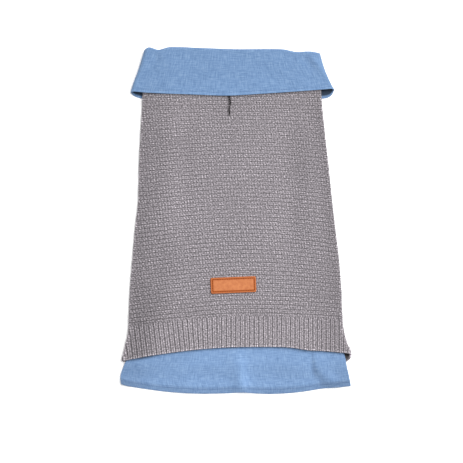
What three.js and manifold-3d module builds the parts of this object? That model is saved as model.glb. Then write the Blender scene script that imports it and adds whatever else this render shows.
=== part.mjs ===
// A small dog's knitted jacket with a woven turn-down collar and a woven shirttail, laid flat on its belly.
// Millimetres. +Z is up, +Y runs to the head end and +X to the jacket's right as seen from above.
// The origin is on the surface it lies on, under the middle of its bounding box.
//
// Each piece is a wall of cloth: a smooth middle surface, sampled on a grid and thickened to both sides.
// The body, its ribbed hem and the collar follow flattened loops: an underside, a round fold at each side and a top.
import * as THREE from "three";
import { mergeVertices } from "three/addons/utils/BufferGeometryUtils.js";
import Module from "manifold-3d";

const wasm = await Module();
wasm.setup();

// ---------------------------------------------------------------- driving sizes

const KNIT = 2.4; // wall of the knitted body and of the ribs' ground
const WOVEN = 1.0; // wall of the collar and the shirttail
const LEATHER = 1.4; // wall of the label patch
const GAP = 0.3; // clearance between neighbouring pieces
const SEAM = 0.4; // the same along edges that run round a fold

const NECK_Y = 157; // seam between the body and the collar's stand
const WAIST_UNDER_Y = -113; // seam between the belly panel and its ribbed hem
const HEM_UNDER_Y = -152.5; // lower edge of the ribbed hem on the belly side
const UNDER_SEAM = 0.82; // side seams on the underside, as a share of its half width

const RIBS_ON_TOP = 46;
const RIBS_PER_FOLD = 2;
const RIB_HEIGHT = 0.9;
const RIB_PHASES = [0.125, 0.375, 0.625, 0.875]; // the corners of one rib, as shares of its pitch

const ORIGIN = { x: 0.69, y: -0.24 }; // centre of the bounding box in the tables' coordinates

// Side edges of the folded body and hem, seen from above.
const BODY_SIDES = [
  { y: -153, left: -122.2, right: 122.4 },
  { y: -149, left: -122.9, right: 124.2 },
  { y: -144, left: -121.6, right: 125.4 },
  { y: -134, left: -119.2, right: 121.4 },
  { y: -120, left: -116.1, right: 117.5 },
  { y: -104, left: -115.4, right: 115.8 },
  { y: -72, left: -114, right: 114.4 },
  { y: -42, left: -111.5, right: 112.2 },
  { y: -10, left: -108.8, right: 108.3 },
  { y: 22, left: -105.3, right: 104.6 },
  { y: 60, left: -104.3, right: 100.8 },
  { y: 90, left: -103, right: 97.3 },
  { y: 132, left: -100.5, right: 93.2 },
  { y: NECK_Y, left: -99.4, right: 90.6 },
];

// Height of the folded body over whatever it lies on, at its side folds and along its middle.
const BODY_HEIGHTS = [
  { y: -153, side: 7.2, middle: 7.2 },
  { y: -139, side: 7.2, middle: 7.3 },
  { y: -122, side: 7.2, middle: 8 },
  { y: -108, side: 7, middle: 8 },
  { y: -90, side: 5.8, middle: 8.3 },
  { y: 60, side: 5.8, middle: 8.4 },
  { y: 112, side: 5.8, middle: 7.4 },
  { y: 140, side: 5.8, middle: 6.4 },
  { y: NECK_Y, side: 5.8, middle: 6 },
];

// Seam between the back panel and its ribbed hem: the courses arch up in the middle.
const WAIST = [
  { x: -118, y: -114.5 },
  { x: -80, y: -109.8 },
  { x: -35, y: -105.3 },
  { x: 3, y: -102.9 },
  { x: 70, y: -104.2 },
  { x: 118, y: -107.2 },
];

// Lower edge of the ribbed hem on the back.
const HEM = [
  { x: -123, y: -151.8 },
  { x: -108, y: -148.7 },
  { x: -87, y: -145.1 },
  { x: -53, y: -140.5 },
  { x: -20, y: -137.4 },
  { x: 10, y: -136.3 },
  { x: 50, y: -136.4 },
  { x: 66, y: -137.8 },
  { x: 80, y: -139.9 },
  { x: 97, y: -140.9 },
  { x: 125, y: -143.6 },
];

// Soft ridges (height over 0) and troughs (under 0) of the top side, from a head end to a tail end.
const BODY_FOLDS = [
  { headX: -68, headY: 150, tailX: -80, tailY: -64, width: 11, height: 1.3 },
  { headX: -50, headY: 142, tailX: -58, tailY: -40, width: 9, height: -0.8 },
  { headX: -34, headY: 120, tailX: -40, tailY: -60, width: 14, height: 0.5 },
  { headX: -62, headY: -26, tailX: -94, tailY: -114, width: 12, height: -2.2 },
  { headX: 20, headY: 130, tailX: 16, tailY: -80, width: 26, height: 0.6 },
  { headX: 56, headY: 152, tailX: 64, tailY: -112, width: 14, height: -1.5 },
  { headX: 82, headY: 156, tailX: 92, tailY: -60, width: 11, height: 2.2 },
  { headX: 101, headY: -66, tailX: 84, tailY: -98, width: 6, height: 1.1 },
  { headX: 94, headY: -58, tailX: 76, tailY: -92, width: 5, height: -1 },
  { headX: 72, headY: -122, tailX: 77, tailY: -142, width: 8, height: 1.3 },
];

// Leash slit through the back panel, closed to a point at both ends.
const SLIT = { x: -6.7, y: 130.5, length: 35, width: 2.4 };

// Leg openings in the belly panel.
const LEG = { x: 50, y: 68, width: 52, length: 70 };
const LEG_SIDES = 36;

// Collar: heights of the stand's middle surface where it turns over, and of the turned leaf.
const COLLAR_UNDER_FOLD_Y = 181;
const COLLAR_UNDER_EDGE_Y = 131.5;
const COLLAR_ROLL = 1.6; // depth of the turn, along Y
const COLLAR_LOFT = 1.0; // how far the leaf stands off the body at the turn
const STAND_TOP = { left: -94.4, right: 87.9, side: 5.3, middle: 4.9 };

// Side edges of the turned leaf, from the turn (share 0) to its free edge (share 1).
const LEAF_SIDES = [
  { share: 0, left: -98.8, right: 91.6 },
  { share: 0.4, left: -104.4, right: 96.4 },
  { share: 0.75, left: -110, right: 102.6 },
  { share: 1, left: -113, right: 106.9 },
];

// The collar's turn as seen from above.
const TURN = [
  { x: -99, y: 185.4 },
  { x: -92, y: 186.4 },
  { x: -83, y: 183.8 },
  { x: -71, y: 186.7 },
  { x: -40, y: 185.9 },
  { x: 0, y: 184.5 },
  { x: 50, y: 184.4 },
  { x: 65, y: 181.6 },
  { x: 80, y: 182 },
  { x: 92, y: 180 },
];

// The leaf's free edge on the back.
const LEAF_EDGE = [
  { x: -114, y: 139.1 },
  { x: -92, y: 137.2 },
  { x: -49, y: 135.5 },
  { x: -8, y: 134.2 },
  { x: 27, y: 136.1 },
  { x: 70, y: 139.0 },
  { x: 107, y: 141.9 },
];

// Lower edge of the leaf on the underside, which rises to meet the top one at both sides.
const UNDER_EDGE = [
  { x: -114, y: 137.6 },
  { x: -110, y: 134.6 },
  { x: -104, y: 132.2 },
  { x: -97, y: COLLAR_UNDER_EDGE_Y },
  { x: 93, y: COLLAR_UNDER_EDGE_Y },
  { x: 100, y: 132.6 },
  { x: 104.5, y: 135.9 },
  { x: 107, y: 140.2 },
];

// Shirttail: side edges, and lower edge.
const TAIL_TOP_Y = -114;
const TAIL_SIDES = [
  { y: -180, left: -121.3, right: 124.6 },
  { y: -175, left: -123.6, right: 124 },
  { y: -167, left: -124, right: 122.4 },
  { y: -158, left: -121, right: 120.3 },
  { y: -149, left: -117.4, right: 118.6 },
  { y: -135, left: -114, right: 114.4 },
  { y: TAIL_TOP_Y, left: -109.5, right: 108.5 },
];
const TAIL_EDGE = [
  { x: -124, y: -176.4 },
  { x: -116, y: -178.8 },
  { x: -94, y: -182.4 },
  { x: -72, y: -185.1 },
  { x: -38, y: -187 },
  { x: -10, y: -186.6 },
  { x: 8, y: -185.7 },
  { x: 24, y: -186.9 },
  { x: 39, y: -187.3 },
  { x: 59, y: -186.3 },
  { x: 77, y: -184.2 },
  { x: 94, y: -181.5 },
  { x: 108, y: -180.3 },
  { x: 124, y: -178.8 },
];
const TAIL_DROP = { startY: -153, endY: -174 }; // where it comes down from the hem to the surface

// Waves of the shirttail past the hem, rising towards its lower edge.
const TAIL_WAVES = [
  { headX: 4, headY: -146, tailX: 9, tailY: -190, width: 8, height: 2.4 },
  { headX: -124, headY: -156, tailX: -124, tailY: -182, width: 9, height: 2.4 },
  { headX: 88, headY: -150, tailX: 114, tailY: -184, width: 9, height: 2.6 },
  { headX: -48, headY: -150, tailX: -56, tailY: -190, width: 14, height: 1 },
];

const PATCH = { x: -2.3, y: -69.4, width: 49, height: 17.2, corner: 1.8, turn: 2.4 };

// ---------------------------------------------------------------- small maths

const { lerp, clamp, smoothstep, degToRad } = THREE.MathUtils;

// A smooth curve through one column of a table, read by another column in rising order.
function curve(rows, key, column) {
  const slopeAt = (i) => {
    const before = rows[Math.max(i - 1, 0)];
    const after = rows[Math.min(i + 1, rows.length - 1)];
    return (after[column] - before[column]) / (after[key] - before[key]);
  };
  return (value) => {
    const past = rows.findIndex((row) => row[key] > value);
    const i = past < 0 ? rows.length - 2 : Math.max(past - 1, 0);
    const span = rows[i + 1][key] - rows[i][key];
    const t = clamp((value - rows[i][key]) / span, 0, 1);
    const start = rows[i][column];
    const end = rows[i + 1][column];
    const startSlope = slopeAt(i) * span;
    const endSlope = slopeAt(i + 1) * span;
    return (
      start * (1 + 2 * t) * (1 - t) ** 2 +
      startSlope * t * (1 - t) ** 2 +
      end * t * t * (3 - 2 * t) +
      endSlope * t * t * (t - 1)
    );
  };
}

// Evenly spaced values from a start to an end, both included.
function steps(start, end, count) {
  return Array.from({ length: count + 1 }, (_, i) => lerp(start, end, i / count));
}

// Height that a table of soft ridges and troughs adds at a place.
function ridges(table, x, y) {
  let height = 0;
  for (const r of table) {
    const alongX = r.tailX - r.headX;
    const alongY = r.tailY - r.headY;
    const length = Math.hypot(alongX, alongY);
    const t = ((x - r.headX) * alongX + (y - r.headY) * alongY) / length ** 2;
    const off = ((x - r.headX) * alongY - (y - r.headY) * alongX) / length;
    const fade = Math.sin(Math.PI * clamp(t, 0, 1));
    height += r.height * fade * Math.exp(-((off / r.width) ** 2));
  }
  return height;
}

// ---------------------------------------------------------------- walls of cloth

// A closed solid from a middle surface(u, v): an outer and an inner grid, joined round the rim.
// outerUs may be finer than innerUs, where the outer face is raised by raise(u, v) over a plain inside.
function clothWall({ surface, outerUs, innerUs = outerUs, vs, thickness, raise = () => 0, ring = false }) {
  const STEP = 1e-3;
  const normal = (u, v) => {
    const alongU = surface(u + STEP, v).sub(surface(u - STEP, v));
    const alongV = surface(u, v + STEP).sub(surface(u, v - STEP));
    return alongV.cross(alongU).normalize();
  };
  const positions = [];
  const grid = (us, offset) =>
    vs.map((v) =>
      us.map((u) => {
        positions.push(...surface(u, v).addScaledVector(normal(u, v), offset(u, v)));
        return positions.length / 3 - 1;
      }),
    );
  const outer = grid(outerUs, (u, v) => thickness / 2 + raise(u, v));
  const inner = grid(innerUs, () => -thickness / 2);

  const triangles = [];
  const quad = (a, b, c, d) => triangles.push(a, b, c, a, c, d);
  const face = (rows, flip) => {
    for (let j = 0; j + 1 < rows.length; j++) {
      const columns = rows[j].length;
      for (let i = 0; i + 1 < columns + (ring ? 1 : 0); i++) {
        const k = (i + 1) % columns;
        const corners = [rows[j][i], rows[j][k], rows[j + 1][k], rows[j + 1][i]];
        quad(...(flip ? corners.reverse() : corners));
      }
    }
  };
  face(outer, false);
  face(inner, true);

  // The rim strip between an outer and an inner row that share their two ends.
  const rim = (outerRow, innerRow, flip) => {
    const turn = (a, b, c) => triangles.push(...(flip ? [a, c, b] : [a, b, c]));
    const outerEnd = outerUs.length - (ring ? 0 : 1);
    const innerEnd = innerUs.length - (ring ? 0 : 1);
    const span = (us, i) => (i < us.length ? us[i] : us[0] + LOOP);
    let i = 0;
    let j = 0;
    while (i < outerEnd || j < innerEnd) {
      const a = outerRow[i % outerRow.length];
      const b = innerRow[j % innerRow.length];
      const outerNext = i < outerEnd && (j >= innerEnd || span(outerUs, i + 1) <= span(innerUs, j + 1));
      if (outerNext) turn(a, b, outerRow[++i % outerRow.length]);
      else turn(a, b, innerRow[++j % innerRow.length]);
    }
  };
  rim(outer[0], inner[0], false);
  rim(outer.at(-1), inner.at(-1), true);
  if (!ring) {
    for (let j = 0; j + 1 < vs.length; j++) {
      quad(outer[j][0], outer[j + 1][0], inner[j + 1][0], inner[j][0]);
      quad(outer[j].at(-1), inner[j].at(-1), inner[j + 1].at(-1), outer[j + 1].at(-1));
    }
  }

  const geometry = new THREE.BufferGeometry();
  geometry.setAttribute("position", new THREE.Float32BufferAttribute(positions, 3));
  geometry.setIndex(triangles);
  return facingOut(geometry);
}

// Turns a closed geometry's faces round if they point inwards.
function facingOut(geometry) {
  const [a, b, c] = [0, 1, 2].map(() => new THREE.Vector3());
  const { index, attributes } = geometry;
  let volume = 0;
  for (let i = 0; i < index.count; i += 3) {
    [a, b, c].forEach((p, k) => p.fromBufferAttribute(attributes.position, index.getX(i + k)));
    volume += a.dot(b.cross(c));
  }
  if (volume < 0) index.array.reverse();
  return geometry;
}

// Cuts one closed geometry out of another.
function cut(geometry, tool) {
  const solid = (source) => {
    const bare = source.clone();
    bare.deleteAttribute("normal");
    bare.deleteAttribute("uv");
    const merged = mergeVertices(bare, 1e-4);
    const vertProperties = merged.attributes.position.array;
    return new wasm.Manifold(new wasm.Mesh({ numProp: 3, vertProperties, triVerts: merged.index.array }));
  };
  const mesh = solid(geometry).subtract(solid(tool)).getMesh();
  const result = new THREE.BufferGeometry();
  result.setAttribute("position", new THREE.BufferAttribute(mesh.vertProperties, 3));
  result.setIndex(new THREE.BufferAttribute(mesh.triVerts, 1));
  return result;
}

// ---------------------------------------------------------------- the flattened loop

// u runs once round: 0 to 1 out along the underside to the left fold, to 2 up that fold,
// to 3 across the top, to 4 down the right fold, and to 5 back to the middle of the underside.
const LOOP = 5;

function loopPoint(u, { left, right, under, side, top }) {
  const radius = (side - under) / 2;
  const middle = (left + right) / 2;
  const turned = (u % LOOP + LOOP) % LOOP;
  if (turned <= 1) return { x: lerp(middle, left + radius, turned), z: under };
  if (turned >= 4) return { x: lerp(right - radius, middle, turned - 4), z: under };
  if (turned < 2) {
    const angle = (turned - 1) * Math.PI;
    return { x: left + radius * (1 - Math.sin(angle)), z: under + radius * (1 - Math.cos(angle)) };
  }
  if (turned > 3) {
    const angle = (turned - 3) * Math.PI;
    return { x: right - radius * (1 - Math.sin(angle)), z: side - radius * (1 - Math.cos(angle)) };
  }
  const x = lerp(left + radius, right - radius, turned - 2);
  return { x, z: top(x) };
}

// 0 on the underside, 1 on the top, and smooth round the side folds.
function topShare(u) {
  const turned = (u % LOOP + LOOP) % LOOP;
  const fromFold = Math.min(turned - 1, 4 - turned);
  return (1 - Math.cos(Math.PI * clamp(fromFold, 0, 1))) / 2;
}

// ---------------------------------------------------------------- the body's form

const bodyLeft = curve(BODY_SIDES, "y", "left");
const bodyRight = curve(BODY_SIDES, "y", "right");
const sideHeight = curve(BODY_HEIGHTS, "y", "side");
const middleHeight = curve(BODY_HEIGHTS, "y", "middle");
const waistY = curve(WAIST, "x", "y");
const hemY = curve(HEM, "x", "y");

const EDGE_ROLL = 20; // how far in from a side fold the top side sinks to its middle height
const RAMP = { startY: 117, endY: 129 }; // where the body climbs onto the collar's under leaf

// Height of what the body lies on: the surface, or the collar's under leaf.
function restHeight(y) {
  return (WOVEN + GAP) * smoothstep(y, RAMP.startY, RAMP.endY);
}

// Height of the body's outer face on the top side. Past the folds it keeps their height.
function bodyTop(x, y) {
  const radius = sideHeight(y) / 2;
  const fromLeft = x - bodyLeft(y) - radius;
  const fromRight = bodyRight(y) - radius - x;
  const inward = Math.max(Math.min(fromLeft, fromRight), 0);
  const edge = Math.exp(-((inward / EDGE_ROLL) ** 2));
  const flat = lerp(middleHeight(y), sideHeight(y), edge);
  return restHeight(y) + flat + (1 - edge) * ridges(BODY_FOLDS, x, y);
}

// The body's middle surface at one y.
function bodySection(y) {
  const half = KNIT / 2;
  return {
    left: bodyLeft(y) + half,
    right: bodyRight(y) - half,
    under: restHeight(y) + half,
    side: restHeight(y) + sideHeight(y) - half,
    top: (x) => bodyTop(x, y) - half,
  };
}

// A point of the body's middle surface on the row whose y at a place is rowY(x, u).
function bodyPoint(u, rowY) {
  let y = rowY(0, u);
  let place = loopPoint(u, bodySection(y));
  for (let pass = 0; pass < 4; pass++) {
    y = rowY(place.x, u);
    place = loopPoint(u, bodySection(y));
  }
  return new THREE.Vector3(place.x, y, place.z);
}

const backRow = (v) => (x, u) => lerp(NECK_Y, lerp(WAIST_UNDER_Y, waistY(x), topShare(u)), v);
const ribRow = (v) => (x, u) => {
  const start = lerp(WAIST_UNDER_Y, waistY(x), topShare(u)) - SEAM;
  const end = lerp(HEM_UNDER_Y, hemY(x), topShare(u));
  return lerp(start, end, v);
};

// ---------------------------------------------------------------- back panel and its ribbed hem

const FOLD_STEPS = 6;

// Rows of the body from the neck seam (0) to the waist (1), closer where it climbs onto the collar.
const rowShare = (y) => (NECK_Y - y) / (NECK_Y - WAIST_UNDER_Y);
const BODY_ROWS = [
  ...steps(0, rowShare(RAMP.endY), 2),
  ...steps(rowShare(RAMP.endY), rowShare(RAMP.startY), 3).slice(1, -1),
  ...steps(rowShare(RAMP.startY), 1, 14),
];
const HEM_ROWS = steps(0, 1, 3);

// Columns of a wall that starts and ends at the side seams and goes over the top.
function overTop(topSteps) {
  return [
    UNDER_SEAM,
    ...steps(1, 2, FOLD_STEPS),
    ...steps(2, 3, topSteps).slice(1, -1),
    ...steps(3, 4, FOLD_STEPS),
    LOOP - UNDER_SEAM,
  ];
}

function backPanel() {
  const panel = clothWall({
    surface: (u, v) => bodyPoint(u, backRow(v)),
    outerUs: overTop(26),
    vs: BODY_ROWS,
    thickness: KNIT,
  });
  return cut(panel, slitTool());
}

// A lens-shaped blade that cuts the leash slit.
function slitTool() {
  const bulge = SLIT.width;
  const lens = new THREE.Shape();
  lens.moveTo(0, -SLIT.length / 2);
  lens.quadraticCurveTo(bulge, 0, 0, SLIT.length / 2);
  lens.quadraticCurveTo(-bulge, 0, 0, -SLIT.length / 2);
  const blade = new THREE.ExtrudeGeometry(lens, { depth: 20, bevelEnabled: false, curveSegments: 6 });
  return blade.translate(SLIT.x, SLIT.y, restHeight(SLIT.y) + KNIT + GAP / 2);
}

// Where a rib's corner at this share of the pitch stands: high on the rib, low between two ribs.
function ribHeight(u) {
  const turned = clamp(u, 1, 4);
  let place = (turned - 2) * RIBS_ON_TOP;
  if (turned < 2) place = (turned - 1) * RIBS_PER_FOLD;
  if (turned > 3) place = (turned - 3) * RIBS_PER_FOLD;
  const offFloor = smoothstep(Math.min(turned - 1, 4 - turned), 0.2, 0.6);
  return RIB_HEIGHT * offFloor * smoothstep((1 - Math.cos(2 * Math.PI * place)) / 2, 0, 1);
}

// Columns at the corners of each rib, from one side seam over the top to the other.
function ribColumns() {
  const columns = [UNDER_SEAM, 1];
  const zones = [RIBS_PER_FOLD, RIBS_ON_TOP, RIBS_PER_FOLD];
  zones.forEach((ribs, zone) => {
    for (let rib = 0; rib < ribs; rib++) {
      for (const phase of RIB_PHASES) columns.push(1 + zone + (rib + phase) / ribs);
    }
  });
  return [...columns, 4, LOOP - UNDER_SEAM];
}

function ribbedHemBack() {
  return clothWall({
    surface: (u, v) => bodyPoint(u, ribRow(v)),
    outerUs: ribColumns(),
    innerUs: overTop(20),
    vs: HEM_ROWS,
    thickness: KNIT,
    raise: ribHeight,
  });
}

// ---------------------------------------------------------------- belly panel and its ribbed hem

// A flat strip of the underside between the side seams.
function bellyStrip(startY, endY, across, down) {
  const surface = (u, v) => {
    const y = lerp(startY, endY, v);
    const section = bodySection(y);
    const seams = [UNDER_SEAM, LOOP - UNDER_SEAM].map((seam) => loopPoint(seam, section).x);
    return new THREE.Vector3(lerp(seams[0] + GAP, seams[1] - GAP, u), y, section.under);
  };
  return clothWall({ surface, outerUs: steps(0, 1, across), vs: down, thickness: KNIT });
}

function bellyPanel() {
  let panel = bellyStrip(NECK_Y, WAIST_UNDER_Y, 4, BODY_ROWS);
  for (const side of [-1, 1]) {
    const leg = new THREE.CylinderGeometry(0.5, 0.5, 4 * KNIT, LEG_SIDES).rotateX(Math.PI / 2);
    leg.scale(LEG.width, LEG.length, 1).translate(side * LEG.x + legShift(), LEG.y, 0);
    panel = cut(panel, leg);
  }
  return panel;
}

// The body leans a little, so the leg openings are set out from its own middle.
function legShift() {
  return (bodyLeft(LEG.y) + bodyRight(LEG.y)) / 2;
}

// ---------------------------------------------------------------- collar

const leafLeft = curve(LEAF_SIDES, "share", "left");
const leafRight = curve(LEAF_SIDES, "share", "right");
const turnY = curve(TURN, "x", "y");
const leafEdgeY = curve(LEAF_EDGE, "x", "y");
const underEdgeY = curve(UNDER_EDGE, "x", "y");

// Middle surface of the stand, from the neck seam (share 0) to the turn (share 1).
function standSection(share) {
  const seam = bodySection(NECK_Y);
  const mix = (from, to) => lerp(from, to, smoothstep(share, 0, 1));
  const side = mix(seam.side, STAND_TOP.side);
  return {
    left: mix(seam.left, STAND_TOP.left),
    right: mix(seam.right, STAND_TOP.right),
    under: seam.under,
    side,
    top: (x) => mix(seam.top(x), lerp(STAND_TOP.middle, STAND_TOP.side, edgeShare(x))),
  };
}

// 1 at the neck's side folds and 0 along the middle.
function edgeShare(x) {
  const inward = Math.min(x - STAND_TOP.left, STAND_TOP.right - x);
  return Math.exp(-((Math.max(inward, 0) / EDGE_ROLL) ** 2));
}

// Middle surface of the turned leaf at a y, from the turn (share 0) to its free edge (share 1).
function leafSection(share, y) {
  const half = WOVEN / 2;
  const lift = SEAM + half + COLLAR_LOFT * (1 - share) ** 2;
  const level = Math.min(y, NECK_Y);
  return {
    left: leafLeft(share) + half,
    right: leafRight(share) - half,
    under: half,
    side: restHeight(level) + sideHeight(level) + lift,
    top: (x) => bodyTop(x, level) + lift,
  };
}

// v runs 0 to 1 up the stand, to 2 over the turn and to 3 down the leaf.
function collarPoint(u, v) {
  const crest = (x) => lerp(COLLAR_UNDER_FOLD_Y, turnY(x), topShare(u)) - WOVEN / 2;
  const edge = (x) => lerp(underEdgeY(x), leafEdgeY(x), topShare(u));
  if (v <= 1) {
    const { x, z } = loopPoint(u, standSection(v));
    return new THREE.Vector3(x, lerp(NECK_Y + GAP, crest(x) - COLLAR_ROLL, v), z);
  }
  if (v >= 2) {
    const share = v - 2;
    let y = lerp(crest(0) - COLLAR_ROLL, edge(0), share);
    let place = loopPoint(u, leafSection(share, y));
    for (let pass = 0; pass < 3; pass++) {
      y = lerp(crest(place.x) - COLLAR_ROLL, edge(place.x), share);
      place = loopPoint(u, leafSection(share, y));
    }
    return new THREE.Vector3(place.x, y, place.z);
  }
  const angle = (v - 1) * Math.PI;
  const across = (1 - Math.cos(angle)) / 2;
  const from = collarPoint(u, 1);
  const to = collarPoint(u, 2);
  const point = from.lerp(to, across);
  point.y += COLLAR_ROLL * Math.sin(angle);
  return point;
}

function collar() {
  const us = [
    ...steps(0, 1, 5).slice(0, -1),
    ...steps(1, 2, FOLD_STEPS).slice(0, -1),
    ...steps(2, 3, 26).slice(0, -1),
    ...steps(3, 4, FOLD_STEPS).slice(0, -1),
    ...steps(4, 5, 5).slice(0, -1),
  ];
  const vs = [...steps(0, 1, 3), ...steps(1, 2, 4).slice(1), ...steps(2, 3, 5).slice(1)];
  return clothWall({ surface: collarPoint, outerUs: us, vs, thickness: WOVEN, ring: true });
}

// ---------------------------------------------------------------- shirttail

const tailLeft = curve(TAIL_SIDES, "y", "left");
const tailRight = curve(TAIL_SIDES, "y", "right");
const tailEdgeY = curve(TAIL_EDGE, "x", "y");

function tailPoint(u, v) {
  let y = lerp(TAIL_TOP_Y, tailEdgeY(0), v);
  let x = 0;
  for (let pass = 0; pass < 4; pass++) {
    x = lerp(tailLeft(y), tailRight(y), u);
    y = lerp(TAIL_TOP_Y, tailEdgeY(x), v);
  }
  const inside = KNIT + GAP + WOVEN / 2;
  const dropped = smoothstep(-y, -TAIL_DROP.startY, -TAIL_DROP.endY);
  const z = lerp(inside, WOVEN / 2, dropped) + dropped * tailWave(x, y);
  return new THREE.Vector3(x, y, z);
}

// Each wave keeps its height from where it has risen to the lower edge.
function tailWave(x, y) {
  let height = 0;
  for (const wave of TAIL_WAVES) {
    const t = clamp((y - wave.headY) / (wave.tailY - wave.headY), 0, 1);
    const off = x - lerp(wave.headX, wave.tailX, t);
    height += wave.height * smoothstep(t, 0, 0.8) * Math.exp(-((off / wave.width) ** 2));
  }
  return height;
}

function shirttail() {
  const vs = [0, 0.3, ...steps(0.5, 1, 7)];
  return clothWall({ surface: tailPoint, outerUs: steps(0, 1, 44), vs, thickness: WOVEN });
}

// ---------------------------------------------------------------- label patch

// A round-cornered patch that lies on the back panel's own points, moved out.
function labelPatch() {
  const { width, height, corner } = PATCH;
  const turn = degToRad(PATCH.turn);
  const surface = (u, v) => {
    const down = lerp(height / 2, -height / 2, v);
    const intoCorner = clamp(corner - (height / 2 - Math.abs(down)), 0, corner);
    const half = width / 2 - corner + Math.sqrt(corner ** 2 - intoCorner ** 2);
    const across = lerp(-half, half, u);
    const x = PATCH.x + across * Math.cos(turn) - down * Math.sin(turn);
    const y = PATCH.y + across * Math.sin(turn) + down * Math.cos(turn);
    return new THREE.Vector3(x, y, bodyTop(x, y) + GAP + LEATHER / 2);
  };
  const cornerShare = corner / height;
  const roundIn = [0.02, 0.12, 0.4, 1].map((share) => share * cornerShare);
  const vs = [...roundIn, 0.5, ...roundIn.map((share) => 1 - share).reverse()];
  return clothWall({ surface, outerUs: steps(0, 1, 10), vs, thickness: LEATHER });
}

// ---------------------------------------------------------------- the jacket

const greyKnit = new THREE.MeshStandardMaterial({ color: 0x9b959c, roughness: 0.95, metalness: 0 });
const blueWoven = new THREE.MeshStandardMaterial({ color: 0x83a3cd, roughness: 0.9, metalness: 0 });
const tanLeather = new THREE.MeshStandardMaterial({ color: 0xc57a50, roughness: 0.6, metalness: 0 });

const PIECES = [
  { name: "back_panel", geometry: backPanel(), material: greyKnit },
  { name: "belly_panel", geometry: bellyPanel(), material: greyKnit },
  { name: "hem_rib_back", geometry: ribbedHemBack(), material: greyKnit },
  {
    name: "hem_rib_belly",
    geometry: bellyStrip(WAIST_UNDER_Y - SEAM, HEM_UNDER_Y, 4, HEM_ROWS),
    material: greyKnit,
  },
  { name: "collar", geometry: collar(), material: blueWoven },
  { name: "shirttail", geometry: shirttail(), material: blueWoven },
  { name: "label_patch", geometry: labelPatch(), material: tanLeather },
];

const jacket = new THREE.Group();
for (const { name, geometry, material } of PIECES) {
  const mesh = new THREE.Mesh(geometry, material);
  mesh.name = name;
  mesh.position.set(-ORIGIN.x, -ORIGIN.y, 0);
  jacket.add(mesh);
}

export default jacket;
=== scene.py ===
"""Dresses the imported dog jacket: knitted body and ribs, woven collar and shirttail, leather patch.

The forms repeat the CAD's tables and formulas in millimetres, and each piece adds its own stitches,
weave, folds and sewing. The jacket lies flat on its belly side, +Z up, +Y to the head end.
"""

import math

import bpy
import numpy as np
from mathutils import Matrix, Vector


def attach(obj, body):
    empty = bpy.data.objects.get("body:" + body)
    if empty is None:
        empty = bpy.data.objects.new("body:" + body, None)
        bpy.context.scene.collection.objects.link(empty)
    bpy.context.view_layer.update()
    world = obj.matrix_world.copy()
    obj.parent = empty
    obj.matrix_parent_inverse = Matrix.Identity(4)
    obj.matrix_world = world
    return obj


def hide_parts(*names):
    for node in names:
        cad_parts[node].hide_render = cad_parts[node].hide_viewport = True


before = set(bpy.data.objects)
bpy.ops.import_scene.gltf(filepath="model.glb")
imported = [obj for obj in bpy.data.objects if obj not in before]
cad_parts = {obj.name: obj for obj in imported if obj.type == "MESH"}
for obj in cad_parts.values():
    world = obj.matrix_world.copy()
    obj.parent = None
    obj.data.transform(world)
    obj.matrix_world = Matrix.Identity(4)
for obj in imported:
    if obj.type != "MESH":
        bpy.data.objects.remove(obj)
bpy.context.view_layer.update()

MM = 0.001
BODY = "root"
ORIGIN = (0.69, -0.24)  # centre of the bounding box in the tables' coordinates


def table(columns, *rows):
    """A short table as a dict of its named columns."""
    return dict(zip(columns.split(), np.array(rows, float).T))


def folds(*rows):
    """A table of soft ridges, waves or painted shades: each runs from head to tail, so wide and so high or
    dark.
    """
    return table("head_x head_y tail_x tail_y width height", *rows)


# ------------------------ sizes, as in the CAD

KNIT, WOVEN, LEATHER, GAP, SEAM = 2.4, 1.0, 1.4, 0.3, 0.4
NECK_Y, WAIST_UNDER_Y, HEM_UNDER_Y = 157.0, -113.0, -152.5
LOOP, UNDER_SEAM = 5.0, 0.82  # once round a loop, and the side seams' place from its start and end
EDGE_ROLL = 20.0  # how far the top side rounds down to its folds
RAMP = (117.0, 129.0)  # where the body climbs onto the collar's underside

BODY_SIDES = table(
    "y left right", (-153, -122.2, 122.4), (-149, -122.9, 124.2), (-144, -121.6, 125.4),
    (-134, -119.2, 121.4), (-120, -116.1, 117.5), (-104, -115.4, 115.8), (-72, -114, 114.4),
    (-42, -111.5, 112.2), (-10, -108.8, 108.3), (22, -105.3, 104.6), (60, -104.3, 100.8),
    (90, -103, 97.3), (132, -100.5, 93.2), (NECK_Y, -99.4, 90.6),
)
BODY_HEIGHTS = table(
    "y side middle", (-153, 7.2, 7.2), (-139, 7.2, 7.3), (-122, 7.2, 8), (-108, 7, 8), (-90, 5.8, 8.3),
    (60, 5.8, 8.4), (112, 5.8, 7.4), (140, 5.8, 6.4), (157, 5.8, 6.0),
)
WAIST = table(
    "x y", (-118, -114.5), (-80, -109.8), (-35, -105.3), (3, -102.9), (70, -104.2), (118, -107.2),
)
HEM = table(
    "x y", (-123, -151.8), (-108, -148.7), (-87, -145.1), (-53, -140.5), (-20, -137.4), (10, -136.3),
    (50, -136.4), (66, -137.8), (80, -139.9), (97, -140.9), (125, -143.6),
)
BODY_FOLDS = folds(
    (-68, 150, -80, -64, 11, 1.3), (-50, 142, -58, -40, 9, -0.8), (-34, 120, -40, -60, 14, 0.5),
    (-62, -26, -94, -114, 12, -2.2), (20, 130, 16, -80, 26, 0.6), (56, 152, 64, -112, 14, -1.5),
    (82, 156, 92, -60, 11, 2.2), (101, -66, 84, -98, 6, 1.1), (94, -58, 76, -92, 5, -1.0),
    (72, -122, 77, -142, 8, 1.3),
)
SLIT = {"y": 130.5, "length": 35.0}
LEG = {"x": 50.0, "y": 68.0, "width": 52.0, "length": 70.0}

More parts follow.
